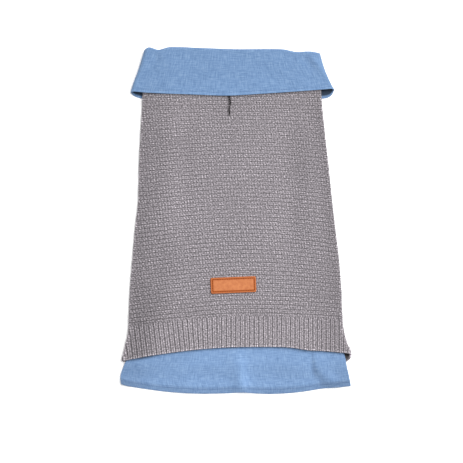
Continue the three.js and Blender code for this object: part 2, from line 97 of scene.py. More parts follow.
COLLAR_UNDER_FOLD_Y, COLLAR_UNDER_EDGE_Y = 181.0, 131.5
COLLAR_ROLL, COLLAR_LOFT = 1.6, 1.0  # how far the turn bulges, and how far the leaf stands off there
STAND_TOP = {"left": -94.4, "right": 87.9, "side": 5.3, "middle": 4.9}
LEAF_SIDES = table(
    "share left right", (0, -98.8, 91.6), (0.4, -104.4, 96.4), (0.75, -110, 102.6), (1, -113, 106.9),
)
TURN = table(
    "x y", (-99, 185.4), (-92, 186.4), (-83, 183.8), (-71, 186.7), (-40, 185.9), (0, 184.5),
    (50, 184.4), (65, 181.6), (80, 182), (92, 180),
)
LEAF_EDGE = table(
    "x y", (-114, 139.1), (-92, 137.2), (-49, 135.5), (-8, 134.2), (27, 136.1), (70, 139.0),
    (107, 141.9),
)
UNDER_EDGE = table(
    "x y", (-114, 137.6), (-110, 134.6), (-104, 132.2), (-97, COLLAR_UNDER_EDGE_Y),
    (93, COLLAR_UNDER_EDGE_Y), (100, 132.6), (104.5, 135.9), (107, 140.2),
)

TAIL_TOP_Y = -114.0
TAIL_SIDES = table(
    "y left right", (-180, -121.3, 124.6), (-175, -123.6, 124), (-167, -124, 122.4),
    (-158, -121, 120.3), (-149, -117.4, 118.6), (-135, -114, 114.4), (TAIL_TOP_Y, -109.5, 108.5),
)
TAIL_EDGE = table(
    "x y", (-124, -176.4), (-116, -178.8), (-94, -182.4), (-72, -185.1), (-38, -187), (-10, -186.6),
    (8, -185.7), (24, -186.9), (39, -187.3), (59, -186.3), (77, -184.2), (94, -181.5), (108, -180.3),
    (124, -178.8),
)
TAIL_DROP = (-153.0, -174.0)  # where the shirttail comes down to the floor
TAIL_WAVES = folds(
    (4, -146, 9, -190, 8, 2.4), (-124, -156, -124, -182, 9, 2.4), (88, -150, 114, -184, 9, 2.6),
    (-48, -150, -56, -190, 14, 1.0),
)
PATCH = {"x": -2.3, "y": -69.4, "width": 49.0, "height": 17.2, "corner": 1.8, "turn": 2.4}

# Soft painted shade, darker where the height column is positive: where folds and creases turn from the
# light, and painted shadows under edges; painted highlights where it is negative, on ridges that turn to the
# light.
KNIT_PAINTED_SHADE = folds(
    (-93, 420, -117, -400, 15, 0.20), (92, 420, 124, -400, 25, 0.22), (-68, 10, -104, -190, 11, 0.16),
    (-100, -60, -112, -200, 14, 0.12), (20, 190, 20, 60, 120, 0.03), (64, 130, 72, -40, 9, 0.07),
    (-82, 150, -78, 20, 10, 0.05), (-62, -80, -66, -200, 14, 0.07),
)
COLLAR_PAINTED_SHADE = folds(
    (-97, 230, -116, 110, 5, -0.30), (-60, 188, 60, 184, 9, 0.06), (70, 190, 92, 150, 5, 0.08),
    (77, 182, 99, 154, 3, -0.22), (-130, 142, 130, 144, 8, -0.06),
)
TAIL_PAINTED_SHADE = folds(
    (-120, -120, -124, -230, 20, 0.46), (-110, -160, -40, -142, 8, 0.20), (6, -120, 8, -230, 7, -0.30),
    (-10, -130, -8, -230, 7, 0.08), (82, -132, 86, -178, 2, 0.45), (79, -152, 99, -186, 4, 0.32),
    (112, -120, 118, -230, 22, 0.32), (52, -110, 58, -240, 20, 0.12), (104, -176, 126, -172, 6, 0.30),
    (-118, -151.4, -80, -145, 1.3, 1.20),
)

# ------------------------ stitches and sewing

WALE = 2.94  # width of one stitch of the body
SLANT = 0.45  # how far each stitch slants within its ridge, as a share of a wale
LEAN = 0.11  # how far the body's wales run to the right on their way down
RIDGES, BELLY_RIDGES = 60.74, 60  # garter ridges from the neck seam to the waist
COVERED = 4  # ridges of the back that the collar hides
GRID_ROWS = (0.0, 0.26, 0.5, 0.74)  # where the mesh has rows in each ridge
TIGHTER = 0.08  # how much closer the ridges are at the neck than halfway, and wider at the waist
LOOSER = 30.0  # ridges over which the knit loosens on its way down from the neck
GATHER_Y, GATHER_EASE = -45.0, 30.0  # where wales start to draw in over the rib, and how gently
ARCH = {"x": 10.0, "reach": 90.0, "left": -2.0, "right": -4.4}  # top and drops of the ridges' arch
RELIEF, PROUD = 0.8, 0.3  # depth of the body's stitches, and how far they stand over the CAD's face

RIB, COURSE = 5.0, 2.3  # width of one rib in the middle, and height of one stitch in the ribs
RIB_RELIEF, RIB_PROUD = 1.1, 0.9  # the same for the ribs as for the body's stitches
RIB_LENGTH, BELLY_RIBS = 37.0, 38
STRIP_WIDTH = 190.0  # of the belly's panel and rib

# The slit's middle, which wanders a little, and how far it gapes to each side.
SLIT_LINE = table(
    "y x half", (113, -6.5, 0.05), (114.5, -6.6, 0.6), (118, -7.0, 0.85), (122.8, -6.9, 0.85),
    (125.8, -6.1, 1.2), (130, -6.6, 1.15), (134, -7.2, 1.1), (146, -7.0, 0.7), (148, -6.7, 0.05),
)

STAND_LENGTH, TURN_LENGTH, LEAF_LENGTH = 23.0, 5.0, 49.0  # cloth up the neck, over and down
COLLAR_STITCH = 3.4  # the collar's edge stitching, in from its free edge
COLLAR_CREASES = folds(
    (-84, 192, -86, 166, 4, -0.7), (-93, 186, -103, 158, 5, 0.35), (-70, 180, -74, 150, 9, 0.25),
    (74, 186, 101, 152, 3.4, 0.9), (66, 188, 88, 156, 5, -0.8), (98, 172, 92, 146, 5, -0.3),
    (-20, 182, -26, 142, 14, 0.2), (30, 178, 36, 142, 12, -0.2),
)

TAIL_WIDTH, TAIL_LENGTH = 240.0, 73.0
HEM_FOLD = 6.0  # depth of the shirttail's turned hem
HEM_STITCH = 4.8  # the hem's stitching, in from its edge
TAIL_CREASES = folds(
    (6, -128, 8, -200, 7, 1.2), (-8, -132, -6, -196, 8, -0.5), (82, -130, 86, -178, 3, -0.7),
    (79, -152, 99, -186, 4, -0.7), (90, -142, 104, -180, 7, 0.5), (-108, -150, -112, -180, 6, -0.4),
    (40, -146, 38, -186, 9, -0.25), (-60, -142, -66, -188, 16, 0.3),
)

BORDER, GROOVE = 2.0, 1.12  # the patch's stitching, in from its edge and over its underside
PATCH_POINTS = (90, 30)  # along its long and its short sides

# ------------------------ small maths


def lerp(a, b, t):
    """From a to b as t goes from 0 to 1."""
    return a + (b - a) * t


def smoothstep(x, low, high):
    """0 up to low, 1 from high on, with a smooth step between."""
    t = np.clip((x - low) / (high - low), 0, 1)
    return t * t * (3 - 2 * t)


def bell(distance, width):
    """1 at no distance, and fading out on both sides."""
    return np.exp(-((distance / width) ** 2))


def swell(turns):
    """0 at whole turns and 1 halfway between."""
    return 0.5 - 0.5 * np.cos(2 * np.pi * turns)


def curve(rows, column):
    """The CAD's smooth curve through one column of a table, read by its first column."""
    x, y = next(iter(rows.values())), rows[column]
    before, after = np.maximum(np.arange(len(x)) - 1, 0), np.minimum(np.arange(len(x)) + 1, len(x) - 1)
    slope = (y[after] - y[before]) / (x[after] - x[before])

    def at(value):
        i = np.clip(np.searchsorted(x, value, side="right") - 1, 0, len(x) - 2)
        span = x[i + 1] - x[i]
        t = np.clip((value - x[i]) / span, 0, 1)
        return (
            y[i] * (1 + 2 * t) * (1 - t) ** 2
            + slope[i] * span * t * (1 - t) ** 2
            + y[i + 1] * t * t * (3 - 2 * t)
            + slope[i + 1] * span * t * t * (t - 1)
        )

    return at


def rows_of(rows):
    """The rows of a table, as dicts."""
    return [dict(zip(rows, values)) for values in zip(*rows.values())]


def ridges(rows, x, y):
    """The sum of a table's soft ridges and troughs, which fade at both ends."""
    height = np.zeros_like(x)
    for f in rows_of(rows):
        dx, dy = f["tail_x"] - f["head_x"], f["tail_y"] - f["head_y"]
        length = math.hypot(dx, dy)
        t = ((x - f["head_x"]) * dx + (y - f["head_y"]) * dy) / length**2
        off = ((x - f["head_x"]) * dy - (y - f["head_y"]) * dx) / length
        height += f["height"] * np.sin(np.pi * np.clip(t, 0, 1)) * bell(off, f["width"])
    return height


def ripple(x, y, wavelength, seed):
    """Smooth irregular waves of height about 1, the same ones for the same seed."""
    random = np.random.default_rng(seed)
    total = np.zeros_like(x)
    for _ in range(7):
        angle, phase = random.uniform(0, 2 * np.pi, 2)
        k = 2 * np.pi / (wavelength * random.uniform(0.7, 1.5))
        total += np.sin(k * (x * np.cos(angle) + y * np.sin(angle)) + phase)
    return total / 2.6


def distances(line):
    """How far along a line each of its points is."""
    return np.concatenate([[0], np.cumsum(np.linalg.norm(np.diff(line, axis=0), axis=1))])


def rows_at(at, along, rows):
    """Rows of numbers between those that are known at some distances along a line."""
    return np.stack([np.interp(at, along, column) for column in rows.T], -1)


def unit(vectors):
    """The same directions, with length 1."""
    return vectors / np.maximum(np.linalg.norm(vectors, axis=-1, keepdims=True), 1e-12)


# ------------------------ the flattened loops of the CAD

body_left, body_right = curve(BODY_SIDES, "left"), curve(BODY_SIDES, "right")
side_height, middle_height = curve(BODY_HEIGHTS, "side"), curve(BODY_HEIGHTS, "middle")
waist_y, hem_y = curve(WAIST, "y"), curve(HEM, "y")
slit_x, slit_half = curve(SLIT_LINE, "x"), curve(SLIT_LINE, "half")
leaf_left, leaf_right = curve(LEAF_SIDES, "left"), curve(LEAF_SIDES, "right")
turn_y, leaf_edge_y, under_edge_y = curve(TURN, "y"), curve(LEAF_EDGE, "y"), curve(UNDER_EDGE, "y")
tail_left, tail_right = curve(TAIL_SIDES, "left"), curve(TAIL_SIDES, "right")
tail_edge_y = curve(TAIL_EDGE, "y")


def loop_point(u, section):
    """x and z at u round a flattened loop, which starts and ends in the middle of its underside.

    It goes to the left end of the underside at 1, round the fold to 2, over the top to 3 and round the
    right fold to 4. A section is the loop's left, right, underside, height of its folds, and top at x.
    """
    left, right, under, side, top = section
    radius = (side - under) / 2
    middle = (left + right) / 2
    turned = u % LOOP
    angle = np.pi * np.clip(np.where(turned < 2.5, turned - 1, turned - 3), 0, 1)
    bulge, rise = radius * (1 - np.sin(angle)), radius * (1 - np.cos(angle))
    across = lerp(left + radius, right - radius, turned - 2)
    parts = [turned <= 1, turned < 2, turned <= 3, turned < 4]
    x = np.select(
        parts,
        [lerp(middle, left + radius, turned), left + bulge, across, right - bulge],
        lerp(right - radius, middle, turned - 4),
    )
    z = np.select(parts, [under, under + rise, top(across), side - rise], under)
    return x, z


def past_underside(u):
    """How far u is past the nearer end of the underside, and less than 0 on it."""
    return np.minimum(u - 1, 4 - u)


def top_share(u):
    """0 on the underside and 1 on the top."""
    return (1 - np.cos(np.pi * np.clip(past_underside(u % LOOP), 0, 1))) / 2


def rest_height(y):
    """Height of the body's underside, which lies on the collar's at the head end."""
    return (WOVEN + GAP) * smoothstep(y, *RAMP)


def body_top(x, y):
    """Height of the body's outer face on the top side."""
    radius = side_height(y) / 2
    inward = np.maximum(np.minimum(x - body_left(y) - radius, body_right(y) - radius - x), 0)
    edge = bell(inward, EDGE_ROLL)
    flat = lerp(middle_height(y), side_height(y), edge)
    return rest_height(y) + flat + (1 - edge) * ridges(BODY_FOLDS, x, y)


def body_section(y):
    """The section of the body's middle surface at y."""
    half = KNIT / 2
    return (
        body_left(y) + half,
        body_right(y) - half,
        rest_height(y) + half,
        rest_height(y) + side_height(y) - half,
        lambda x: body_top(x, y) - half,
    )


def waist_of(x, u):
    """y of the waist seam, which is straight on the underside and arched on the top."""
    return lerp(WAIST_UNDER_Y, waist_y(x), top_share(u))


def cloth_to_loop(across, y):
    """u for a distance across the cloth: x on the top side, then on round the folds."""
    left, right, under, side, _ = body_section(y)
    radius = (side - under) / 2
    middle = (left + right) / 2
    past_right, past_left = across - (right - radius), (left + radius) - across
    past, half = np.maximum(past_right, past_left), right - radius - middle
    arc = np.pi * radius
    beyond = np.where(past < arc, past / arc, 1 + (past - arc) / half)
    flat = 2 + (across - (left + radius)) / (2 * half)
    u = np.where(past <= 0, flat, np.where(past_right > past_left, 3 + beyond, 2 - beyond))
    return np.clip(u, UNDER_SEAM, LOOP - UNDER_SEAM)


def crossing(row, across_at, x):
    """u and the point on the body's middle surface where a line down the cloth crosses a row.

    row(x, u) is the row's y, across_at(y) the line's distance across the cloth, and x a first guess.
    """
    y = row(x, np.full_like(x, LOOP / 2))
    for _ in range(6):
        u = cloth_to_loop(across_at(y), y)
        x, z = loop_point(u, body_section(y))
        y = row(x, u)
    return u, np.stack([x, y, z], -1)


def stand_section(share):
    """The section of the collar's stand, at a share of the way up from the neck seam."""
    left, right, under, side, top = body_section(np.full_like(share, NECK_Y))
    t = smoothstep(share, 0, 1)

    def crest(x):
        inward = np.maximum(np.minimum(x - STAND_TOP["left"], STAND_TOP["right"] - x), 0)
        return lerp(STAND_TOP["middle"], STAND_TOP["side"], bell(inward, EDGE_ROLL))

    return (
        lerp(left, STAND_TOP["left"], t),
        lerp(right, STAND_TOP["right"], t),
        under,
        lerp(side, STAND_TOP["side"], t),
        lambda x: lerp(top(x), crest(x), t),
    )


def leaf_section(share, y):
    """The section of the collar's turned-down leaf, at a share of its way down."""
    half = WOVEN / 2
    lift = SEAM + half + COLLAR_LOFT * (1 - share) ** 2
    level = np.minimum(y, NECK_Y)
    return (
        leaf_left(share) + half,
        leaf_right(share) - half,
        np.full_like(y, half),
        rest_height(level) + side_height(level) + lift,
        lambda x: body_top(x, level) + lift,
    )


def collar_point(u, v):
    """Middle surface of the collar: v to 1 up the stand, to 2 over the turn and to 3 down the leaf."""
    crest = lambda x: lerp(COLLAR_UNDER_FOLD_Y, turn_y(x), top_share(u)) - WOVEN / 2
    edge = lambda x: lerp(under_edge_y(x), leaf_edge_y(x), top_share(u))
    up, down = np.clip(v, 0, 1), np.clip(v - 2, 0, 1)
    x, z = loop_point(u, stand_section(up))
    stand = np.stack([x, lerp(NECK_Y + GAP, crest(x) - COLLAR_ROLL, up), z], -1)
    x = np.zeros_like(u)
    for _ in range(4):
        y = lerp(crest(x) - COLLAR_ROLL, edge(x), down)
        x, z = loop_point(u, leaf_section(down, y))
    leaf = np.stack([x, lerp(crest(x) - COLLAR_ROLL, edge(x), down), z], -1)
    angle = np.pi * np.clip(v - 1, 0, 1)
    point = lerp(stand, leaf, ((1 - np.cos(angle)) / 2)[..., None])
    point[..., 1] += COLLAR_ROLL * np.sin(angle)
    return point


def tail_wave(x, y):
    """Height of the waves that grow towards the shirttail's edge."""
    height = np.zeros_like(x)
    for w in rows_of(TAIL_WAVES):
        t = np.clip((y - w["head_y"]) / (w["tail_y"] - w["head_y"]), 0, 1)
        off = x - lerp(w["head_x"], w["tail_x"], t)
        height += w["height"] * smoothstep(t, 0, 0.8) * bell(off, w["width"])
    return height


def tail_point(u, v):
    """Middle surface of the shirttail: u from side to side, v from its top to its edge."""
    x = np.zeros_like(u)
    for _ in range(5):
        y = lerp(TAIL_TOP_Y, tail_edge_y(x), v)
        x = lerp(tail_left(y), tail_right(y), u)
    dropped = smoothstep(-y, -TAIL_DROP[0], -TAIL_DROP[1])
    z = lerp(KNIT + GAP + WOVEN / 2, WOVEN / 2, dropped) + dropped * tail_wave(x, y)
    return np.stack([x, y, z], -1)


# ------------------------ meshes


def normals(surface, u, v, step=1e-3):
    """Outward directions of a surface, from the steps between points close together."""
    along_u = surface(u + step, v) - surface(u - step, v)
    along_v = surface(u, v + step) - surface(u, v - step)
    return unit(np.cross(along_v, along_u))


def quads(grid, flip=False):
    """The four corners of every cell of a grid, one row for each cell."""
    near, far = slice(None, -1), slice(1, None)
    corners = [(near, near), (near, far), (far, far), (far, near)]
    if flip:
        corners.reverse()
    cells = np.stack([grid[corner] for corner in corners], 2)
    return cells.reshape(-1, *cells.shape[2:])


def close_ring(ids, cloth):
    """A grid whose first column of points comes again after its last, with the cloth running on."""
    step = cloth[:, -1:] - cloth[:, -2:-1]
    return np.append(ids, ids[:, :1], 1), np.append(cloth, cloth[:, -1:] + step, 1)


def add_object(name, data):
    """A new object in the scene."""
    obj = bpy.data.objects.new(name, data)
    bpy.context.scene.collection.objects.link(obj)
    return obj


class Weaver:
    """Collects one mesh's points and faces, and two maps: cloth for patterns, OFBake for baking."""

    def __init__(self):
        self.points, self.hollow, self.corners, self.cloth, self.bake = [], [], [], [], []
        self.count = 0

    def add_points(self, points, hollow=None):
        """Adds points and gives their numbers in the mesh. hollow is how dark each of them is."""
        flat = points.reshape(-1, 3)
        self.points.append(flat)
        self.hollow.append(np.zeros(len(flat)) if hollow is None else hollow.ravel())
        self.count += len(flat)
        return np.arange(self.count - len(flat), self.count).reshape(points.shape[:-1])

    def add_faces(self, corners, cloth, bake):
        """Each argument has one row per face and one entry per corner."""
        self.corners.append(corners)
        self.cloth.append(cloth)
        self.bake.append(bake)

    def add_grid(self, ids, cloth, place, flip=False):
        """Faces between the rows and columns of ids. place is their corner and size on the baked map."""
        v, u = np.meshgrid(*[np.linspace(0, 1, count) for count in ids.shape], indexing="ij")
        bake = np.stack([place[0] + u * place[2], place[1] + v * place[3]], -1)
        self.add_faces(*[quads(values, flip) for values in (ids, cloth, bake)])

    def add_rim(self, a, a_at, b, b_at, cloth, place, flip=False):
        """A strip of triangles between two lines of points, placed along the rim by a_at and b_at.

        cloth has the pattern's coordinates along the first line.
        """
        spot = lambda at, far: (place[0] + place[2] * at, place[1] + place[3] * far)
        corner_a = lambda: (a[i], cloth[i], spot(a_at[i], 0))
        corner_b = lambda: (b[j], cloth[i], spot(b_at[j], 1))
        i = j = 0
        faces = []
        for step in np.argsort(np.concatenate([a_at[1:], b_at[1:]]), kind="stable"):
            corners = [corner_a(), corner_b()]
            if step < len(a) - 1:
                i += 1
                corners.append(corner_a())
            else:
                j += 1
                corners.append(corner_b())
            faces.append([corners[k] for k in ((1, 0, 2, 2) if flip else (0, 1, 2, 2))])
        self.add_faces(*[np.array([[c[k] for c in corners] for corners in faces]) for k in range(3)])

    def build(self, name, material):
        """The mesh object. Corners that repeat the one before are left out, and so are empty faces."""
        points = np.concatenate(self.points) - np.array([*ORIGIN, 0.0])
        corners, cloth, bake = (np.concatenate(x) for x in (self.corners, self.cloth, self.bake))
        real = corners != np.roll(corners, -1, axis=1)
        real &= (real.sum(1) > 2)[:, None]
        totals = real.sum(1)
        totals = totals[totals > 0]
        used, index = np.unique(corners[real], return_inverse=True)
        mesh = bpy.data.meshes.new(name)
        mesh.vertices.add(len(used))
        mesh.vertices.foreach_set("co", (points[used] * MM).astype(np.float32).ravel())
        mesh.loops.add(len(index))
        mesh.loops.foreach_set("vertex_index", index.astype(np.int32))
        mesh.polygons.add(len(totals))
        mesh.polygons.foreach_set("loop_start", (np.cumsum(totals) - totals).astype(np.int32))
        mesh.update(calc_edges=True)
        for label, values in (("cloth", cloth), ("OFBake", bake)):
            layer = mesh.uv_layers.new(name=label, do_init=False)
            layer.uv.foreach_set("vector", values[real].astype(np.float32).ravel())
        hollow = mesh.attributes.new("hollow", "FLOAT", "POINT")
        hollow.data.foreach_set("value", np.concatenate(self.hollow)[used].astype(np.float32))
        mesh.polygons.foreach_set("use_smooth", np.ones(len(totals), bool))
        mesh.validate()
        mesh.materials.append(material)
        return add_object(name, mesh)


def nowhere(u, v):
    """No relief or hollow at any point."""
    return np.zeros_like(u)


def wall(
    name, material, surface, us, vs, thickness, cloth, relief,
    *, inner_us=None, inner_vs=None, hollow=nowhere, inside=nowhere, edge=None, ring=False, merge=None,
):
    """A closed wall of cloth: a fine outer face with relief, a plain inner face and rims.

    cloth(u, v) gives the pattern's coordinates, hollow and inside the two faces' painted shade, and edge
    the distance to the nearest free edge, where the wall rounds over. merge(u, v, side) marks points that
    are one with the first or last point of their row. A ring closes on itself, round the loop.
    """
    inner_us = us if inner_us is None else inner_us
    inner_vs = vs if inner_vs is None else inner_vs
    half = thickness / 2
    w = Weaver()

    def roundness(u, v):
        if edge is None:
            return np.ones_like(u)
        past = 1 - np.clip(edge(u, v) / half, 0, 1)
        return np.maximum(np.sqrt(1 - past**2), 0.12)

    def face(us, vs, sign, raised, shade):
        v, u = np.meshgrid(vs, us, indexing="ij")
        height = half * roundness(u, v) + raised(u, v)
        points = surface(u, v) + sign * height[..., None] * normals(surface, u, v)
        ids = w.add_points(points, shade(u, v))
        for side in (0, -1) if merge else ():
            ids = np.where(merge(u, v, side), ids[:, [side]], ids)
        return close_ring(ids, cloth(u, v)) if ring else (ids, cloth(u, v))

    outer, outer_cloth = face(us, vs, 1, relief, hollow)
    inner, inner_cloth = face(inner_us, inner_vs, -1, nowhere, inside)
    w.add_grid(outer, outer_cloth, (0, 0, 1, 0.84), flip=True)
    w.add_grid(inner, inner_cloth, (0, 0.86, 1, 0.1))
    if ring:
        us, inner_us = np.append(us, us[0] + LOOP), np.append(inner_us, inner_us[0] + LOOP)
    rims = [
        (outer[0], us, inner[0], inner_us, outer_cloth[0], True),
        (outer[-1], us, inner[-1], inner_us, outer_cloth[-1], False),
    ]
    if not ring:
        rims.append((outer[:, 0], vs, inner[:, 0], inner_vs, outer_cloth[:, 0], False))
        rims.append((outer[:, -1], vs, inner[:, -1], inner_vs, outer_cloth[:, -1], True))
    share = lambda at: (at - at[0]) / (at[-1] - at[0])
    for k, (a, a_at, b, b_at, rim_cloth, flip) in enumerate(rims):
        w.add_rim(a, share(a_at), b, share(b_at), rim_cloth, (0, 0.965 + 0.008 * k, 1, 0.006), flip)
    return w.build(name, material)


def cut_out(panel, blade):
    """Cuts a blade's shape out of a panel, and deletes the blade."""
    cut = panel.modifiers.new("cut", "BOOLEAN")
    cut.operation, cut.object, cut.solver = "DIFFERENCE", blade, "MANIFOLD"
    evaluated = panel.evaluated_get(bpy.context.evaluated_depsgraph_get())
    mesh = bpy.data.meshes.new_from_object(evaluated)
    old = panel.data
    panel.modifiers.clear()
    panel.data = mesh
    mesh.name = old.name
    bpy.data.meshes.remove(old)
    bpy.data.objects.remove(blade)


# ------------------------ materials


class Nodes:
    """A node material under construction. Values are sockets of its nodes, or constants."""

    def __init__(self, name, **settings):
        self.material = bpy.data.materials.new(name)
        self.material.use_nodes = True
        self.tree = self.material.node_tree
        self.shader = self.tree.nodes["Principled BSDF"]
        self.shader.inputs["Specular IOR Level"].default_value = 0.25
        for setting, value in settings.items():
            self.shader.inputs[setting.replace("_", " ").title()].default_value = value

    def link(self, value, socket):
        """Feeds a socket from another node's, or sets it to a constant."""
        if isinstance(value, bpy.types.NodeSocket):
            self.tree.links.new(value, socket)
        else:
            socket.default_value = value

    def node(self, kind, inputs, output=0, **settings):
        """One output of a new node. Its inputs are values by name or number."""
        node = self.tree.nodes.new("ShaderNode" + kind)
        for setting, value in settings.items():
            setattr(node, setting, value)
        for key, value in inputs.items():
            self.link(value, node.inputs[key])
        return node.outputs[output]

    def math(self, operation, a, b=0.0, c=0.0, clamp=False):
        """The outcome of one operation."""
        return self.node("Math", {0: a, 1: b, 2: c}, operation=operation, use_clamp=clamp)

    def plus(self, a, b):
        """a + b"""
        return self.math("ADD", a, b)

    def times(self, a, b, clamp=False):
        """a * b"""
        return self.math("MULTIPLY", a, b, clamp=clamp)

    def linear(self, value, slope, start):
        """start + slope * value"""
        return self.math("MULTIPLY_ADD", value, slope, start)

    def wave(self, turns, start=0.5, height=0.5):
        """start + height * the cosine of a coordinate in whole turns."""
        return self.linear(self.math("COSINE", self.times(turns, 2 * math.pi)), height, start)

    def cloth(self):
        """The two pattern coordinates of the cloth map."""
        place = {0: self.node("UVMap", {}, uv_map="cloth")}
        return self.node("SeparateXYZ", place, 0), self.node("SeparateXYZ", place, 1)

    def hollow(self):
        """How dark each point of the mesh is: mostly painted shade, painted highlights below 0, and the
        leather's pressed darkening.
        """
        return self.node("Attribute", {}, "Fac", attribute_name="hollow")

    def vector(self, x, y, z=0.0):
        """The vector of three values."""
        return self.node("CombineXYZ", {0: x, 1: y, 2: z})

    def stretched(self, x, y, by_x, by_y, z=0.0):
        """A place on the cloth for noise that is stretched along it or across."""
        return self.vector(self.times(x, by_x), self.times(y, by_y), z)

    def noise(self, place, scale=1.0, detail=2.0, roughness=0.5):
        """Noise about 0.5 at a place on the cloth."""
        inputs = {"Vector": place, "Scale": scale, "Detail": detail, "Roughness": roughness}
        return self.node("TexNoise", inputs, "Fac")

    def ramp(self, value, *stops):
        """Colours at positions along a value: (position, (r, g, b)) each."""
        node = self.tree.nodes.new("ShaderNodeValToRGB")
        self.link(value, node.inputs[0])
        elements = node.color_ramp.elements
        while len(elements) < len(stops):
            elements.new(0.5)
        for element, (position, colour) in zip(elements, stops):
            element.position, element.color = position, (*colour, 1)
        return node.outputs["Color"]

    def mix(self, share, a, b, mode="MIX"):
        """A colour between a and b, which are sockets or (r, g, b)."""
        a, b = ((*colour, 1) if isinstance(colour, tuple) else colour for colour in (a, b))
        return self.node("Mix", {0: share, 6: a, 7: b}, 2, data_type="RGBA", blend_type=mode)

    def bump(self, height, distance, strength):
        """Roughens the shading by a height, whose unit is a distance in millimetres."""
        inputs = {"Height": height, "Distance": distance * MM, "Strength": strength}
        self.link(self.node("Bump", inputs), self.shader.inputs["Normal"])

    def finish(self, colour, shade=None):
        """The material in this colour, times a shade if there is one."""
        if shade is not None:
            colour = self.mix(1.0, colour, self.vector(shade, shade, shade), "MULTIPLY")
        self.link(colour, self.shader.inputs["Base Color"])
        return self.material


def grey(value, warm):
    """A slightly mauve grey in linear light."""
    return (value * (1.03 + warm), value * 0.943, value * 1.02)


def garter_nodes(n, wale, ridge):
    """The same relief as garter(), for the shader."""
    place = n.math("FRACT", ridge)
    bump = n.wave(n.linear(n.math("SUBTRACT", place, 0.5), -SLANT, wale), 0.675, 0.325)
    rows = n.wave(n.times(place, 2.0), 0.31, -0.31)
    deeper = n.linear(n.times(ridge, 1 / LOOSER, clamp=True), 0.14, 0.24)
    both = n.times(n.wave(place, 0.5, -0.5), deeper)
    return n.times(n.plus(rows, both), bump)


def rib_nodes(n, rib, course):
    """The same relief as rib_relief(), for the shader."""
    place = n.math("FRACT", rib)
    legs = n.wave(n.times(place, 2.0), 0.40, -0.40)
    both = n.wave(place, 0.18, -0.18)
    from_middle = n.math("ABSOLUTE", n.math("SUBTRACT", place, 0.5))
    vees = n.wave(n.linear(from_middle, 2.2, course), 0.87, 0.13)
    return n.times(n.plus(legs, both), vees)


def marl_material(name, relief, across, down):
    """Marled yarn of light and dark plies, with painted shade in the hollows between its stitches."""
    n = Nodes(name, roughness=0.95, sheen_weight=0.1, sheen_roughness=0.5)
    wale, course = n.cloth()
    height = relief(n, wale, course)
    plies = n.noise(n.stretched(wale, course, across, down), detail=2.0, roughness=0.7)
    tones = ((0.28, 0.075, 0), (0.42, 0.19, 0), (0.55, 0.34, 0), (0.72, 0.74, 0.01))
    yarn = n.ramp(plies, *[(position, grey(value, warm)) for position, value, warm in tones])
    patchy = n.noise(n.stretched(wale, course, 0.05, 0.07))
    fibres = n.noise(n.stretched(wale, course, 5.0, 9.0), detail=4.0, roughness=0.7)
    # painted shade: darker over the low parts of the stitch relief, times a random patchy tone and the
    # hollow attribute's painted shade
    shade = n.times(n.linear(height, 0.85, 0.42), n.linear(patchy, 0.24, 0.88))
    n.bump(n.linear(height, 1.6, fibres), 0.4, 0.8)
    return n.finish(yarn, n.times(shade, n.math("SUBTRACT", 1.0, n.hollow())))


def woven_material(name, red, green, blue):
    """Chambray: blue warp and white weft, with slubs both ways. The cloth map is in millimetres."""
    n = Nodes(name, roughness=0.85, sheen_weight=0.1, sheen_roughness=0.5)
    x, y = n.cloth()
    thread = 2 * math.pi / 0.55
    weave = n.times(n.math("SINE", n.times(x, thread)), n.math("SINE", n.times(y, thread)))
    across = n.noise(n.stretched(x, y, 0.10, 0.95), detail=3.0, roughness=0.6)
    down = n.noise(n.stretched(x, y, 0.95, 0.10, 7.0), detail=3.0, roughness=0.6)
    slubs = n.plus(n.times(across, 0.5), n.times(down, 0.5))
    threads = n.ramp(
        n.linear(weave, 0.05, slubs),
        (0.34, (0.66 * red, 0.71 * green, 0.75 * blue)),
        (0.50, (red, green, blue)),
        (0.66, (1.52 * red, 1.36 * green, 1.20 * blue)),
    )
    n.bump(n.plus(weave, n.times(slubs, 3.0)), 0.06, 0.9)
    # the hollow attribute's painted shade darkens the cloth, and its painted highlights lighten it
    return n.finish(threads, n.linear(n.hollow(), -0.4, 1.0))


def leather_material():
    """Tan leather with a fine grain, darker where it is pressed."""
    n = Nodes("tan_leather", roughness=0.55)
    at = n.vector(*n.cloth())
    grain = n.node("TexVoronoi", {"Vector": at, "Scale": 2.6}, "Distance")
    n.bump(n.plus(grain, n.noise(at, scale=6.0, detail=3.0)), 0.1, 0.5)
    blotches = n.noise(at, scale=0.25, detail=3.0)
    tan = n.ramp(blotches, (0.35, (0.41, 0.128, 0.043)), (0.65, (0.50, 0.175, 0.062)))
    return n.finish(n.mix(n.hollow(), tan, (0.31, 0.064, 0.005)))


def thread_material(name, colour):
    """Sewing thread, with painted shade between its twists."""
    n = Nodes(name, roughness=0.7)
    twist = n.math("SINE", n.times(n.plus(*n.cloth()), 9.0))
    n.bump(twist, 0.08, 0.7)
    dark = tuple(c * 0.7 for c in colour)
    return n.finish(n.mix(n.linear(twist, 0.5, 0.5), dark, colour))


# ------------------------ knitted back


def garter(wale, ridge):
    """Relief of garter stitch from 0 to 1: each ridge is two rows of slanted bumps, then a deeper hollow."""
    place = ridge % 1
    bump = 0.5 + 0.5 * np.cos(2 * np.pi * (wale - SLANT * (place - 0.5)))
    deeper = 0.24 + 0.14 * np.clip(ridge / LOOSER, 0, 1)
    return (0.62 * swell(2 * place) + deeper * swell(place)) * (0.35 + 0.65 * bump)


def stitch_height(x, y, wale, ridge):
    """The body's relief, a little uneven from stitch to stitch."""
    uneven = 1 + 0.12 * ripple(x, y, 6, 3) + 0.08 * ripple(x, y, 23, 4)
    return RELIEF * (np.minimum(garter(wale, ridge) * uneven, 1) - 1) + PROUD


def ridge_at(v):
    """Ridges from the neck seam, closer together there than at the waist."""
    return RIDGES * v * (1 + TIGHTER * (1 - v))


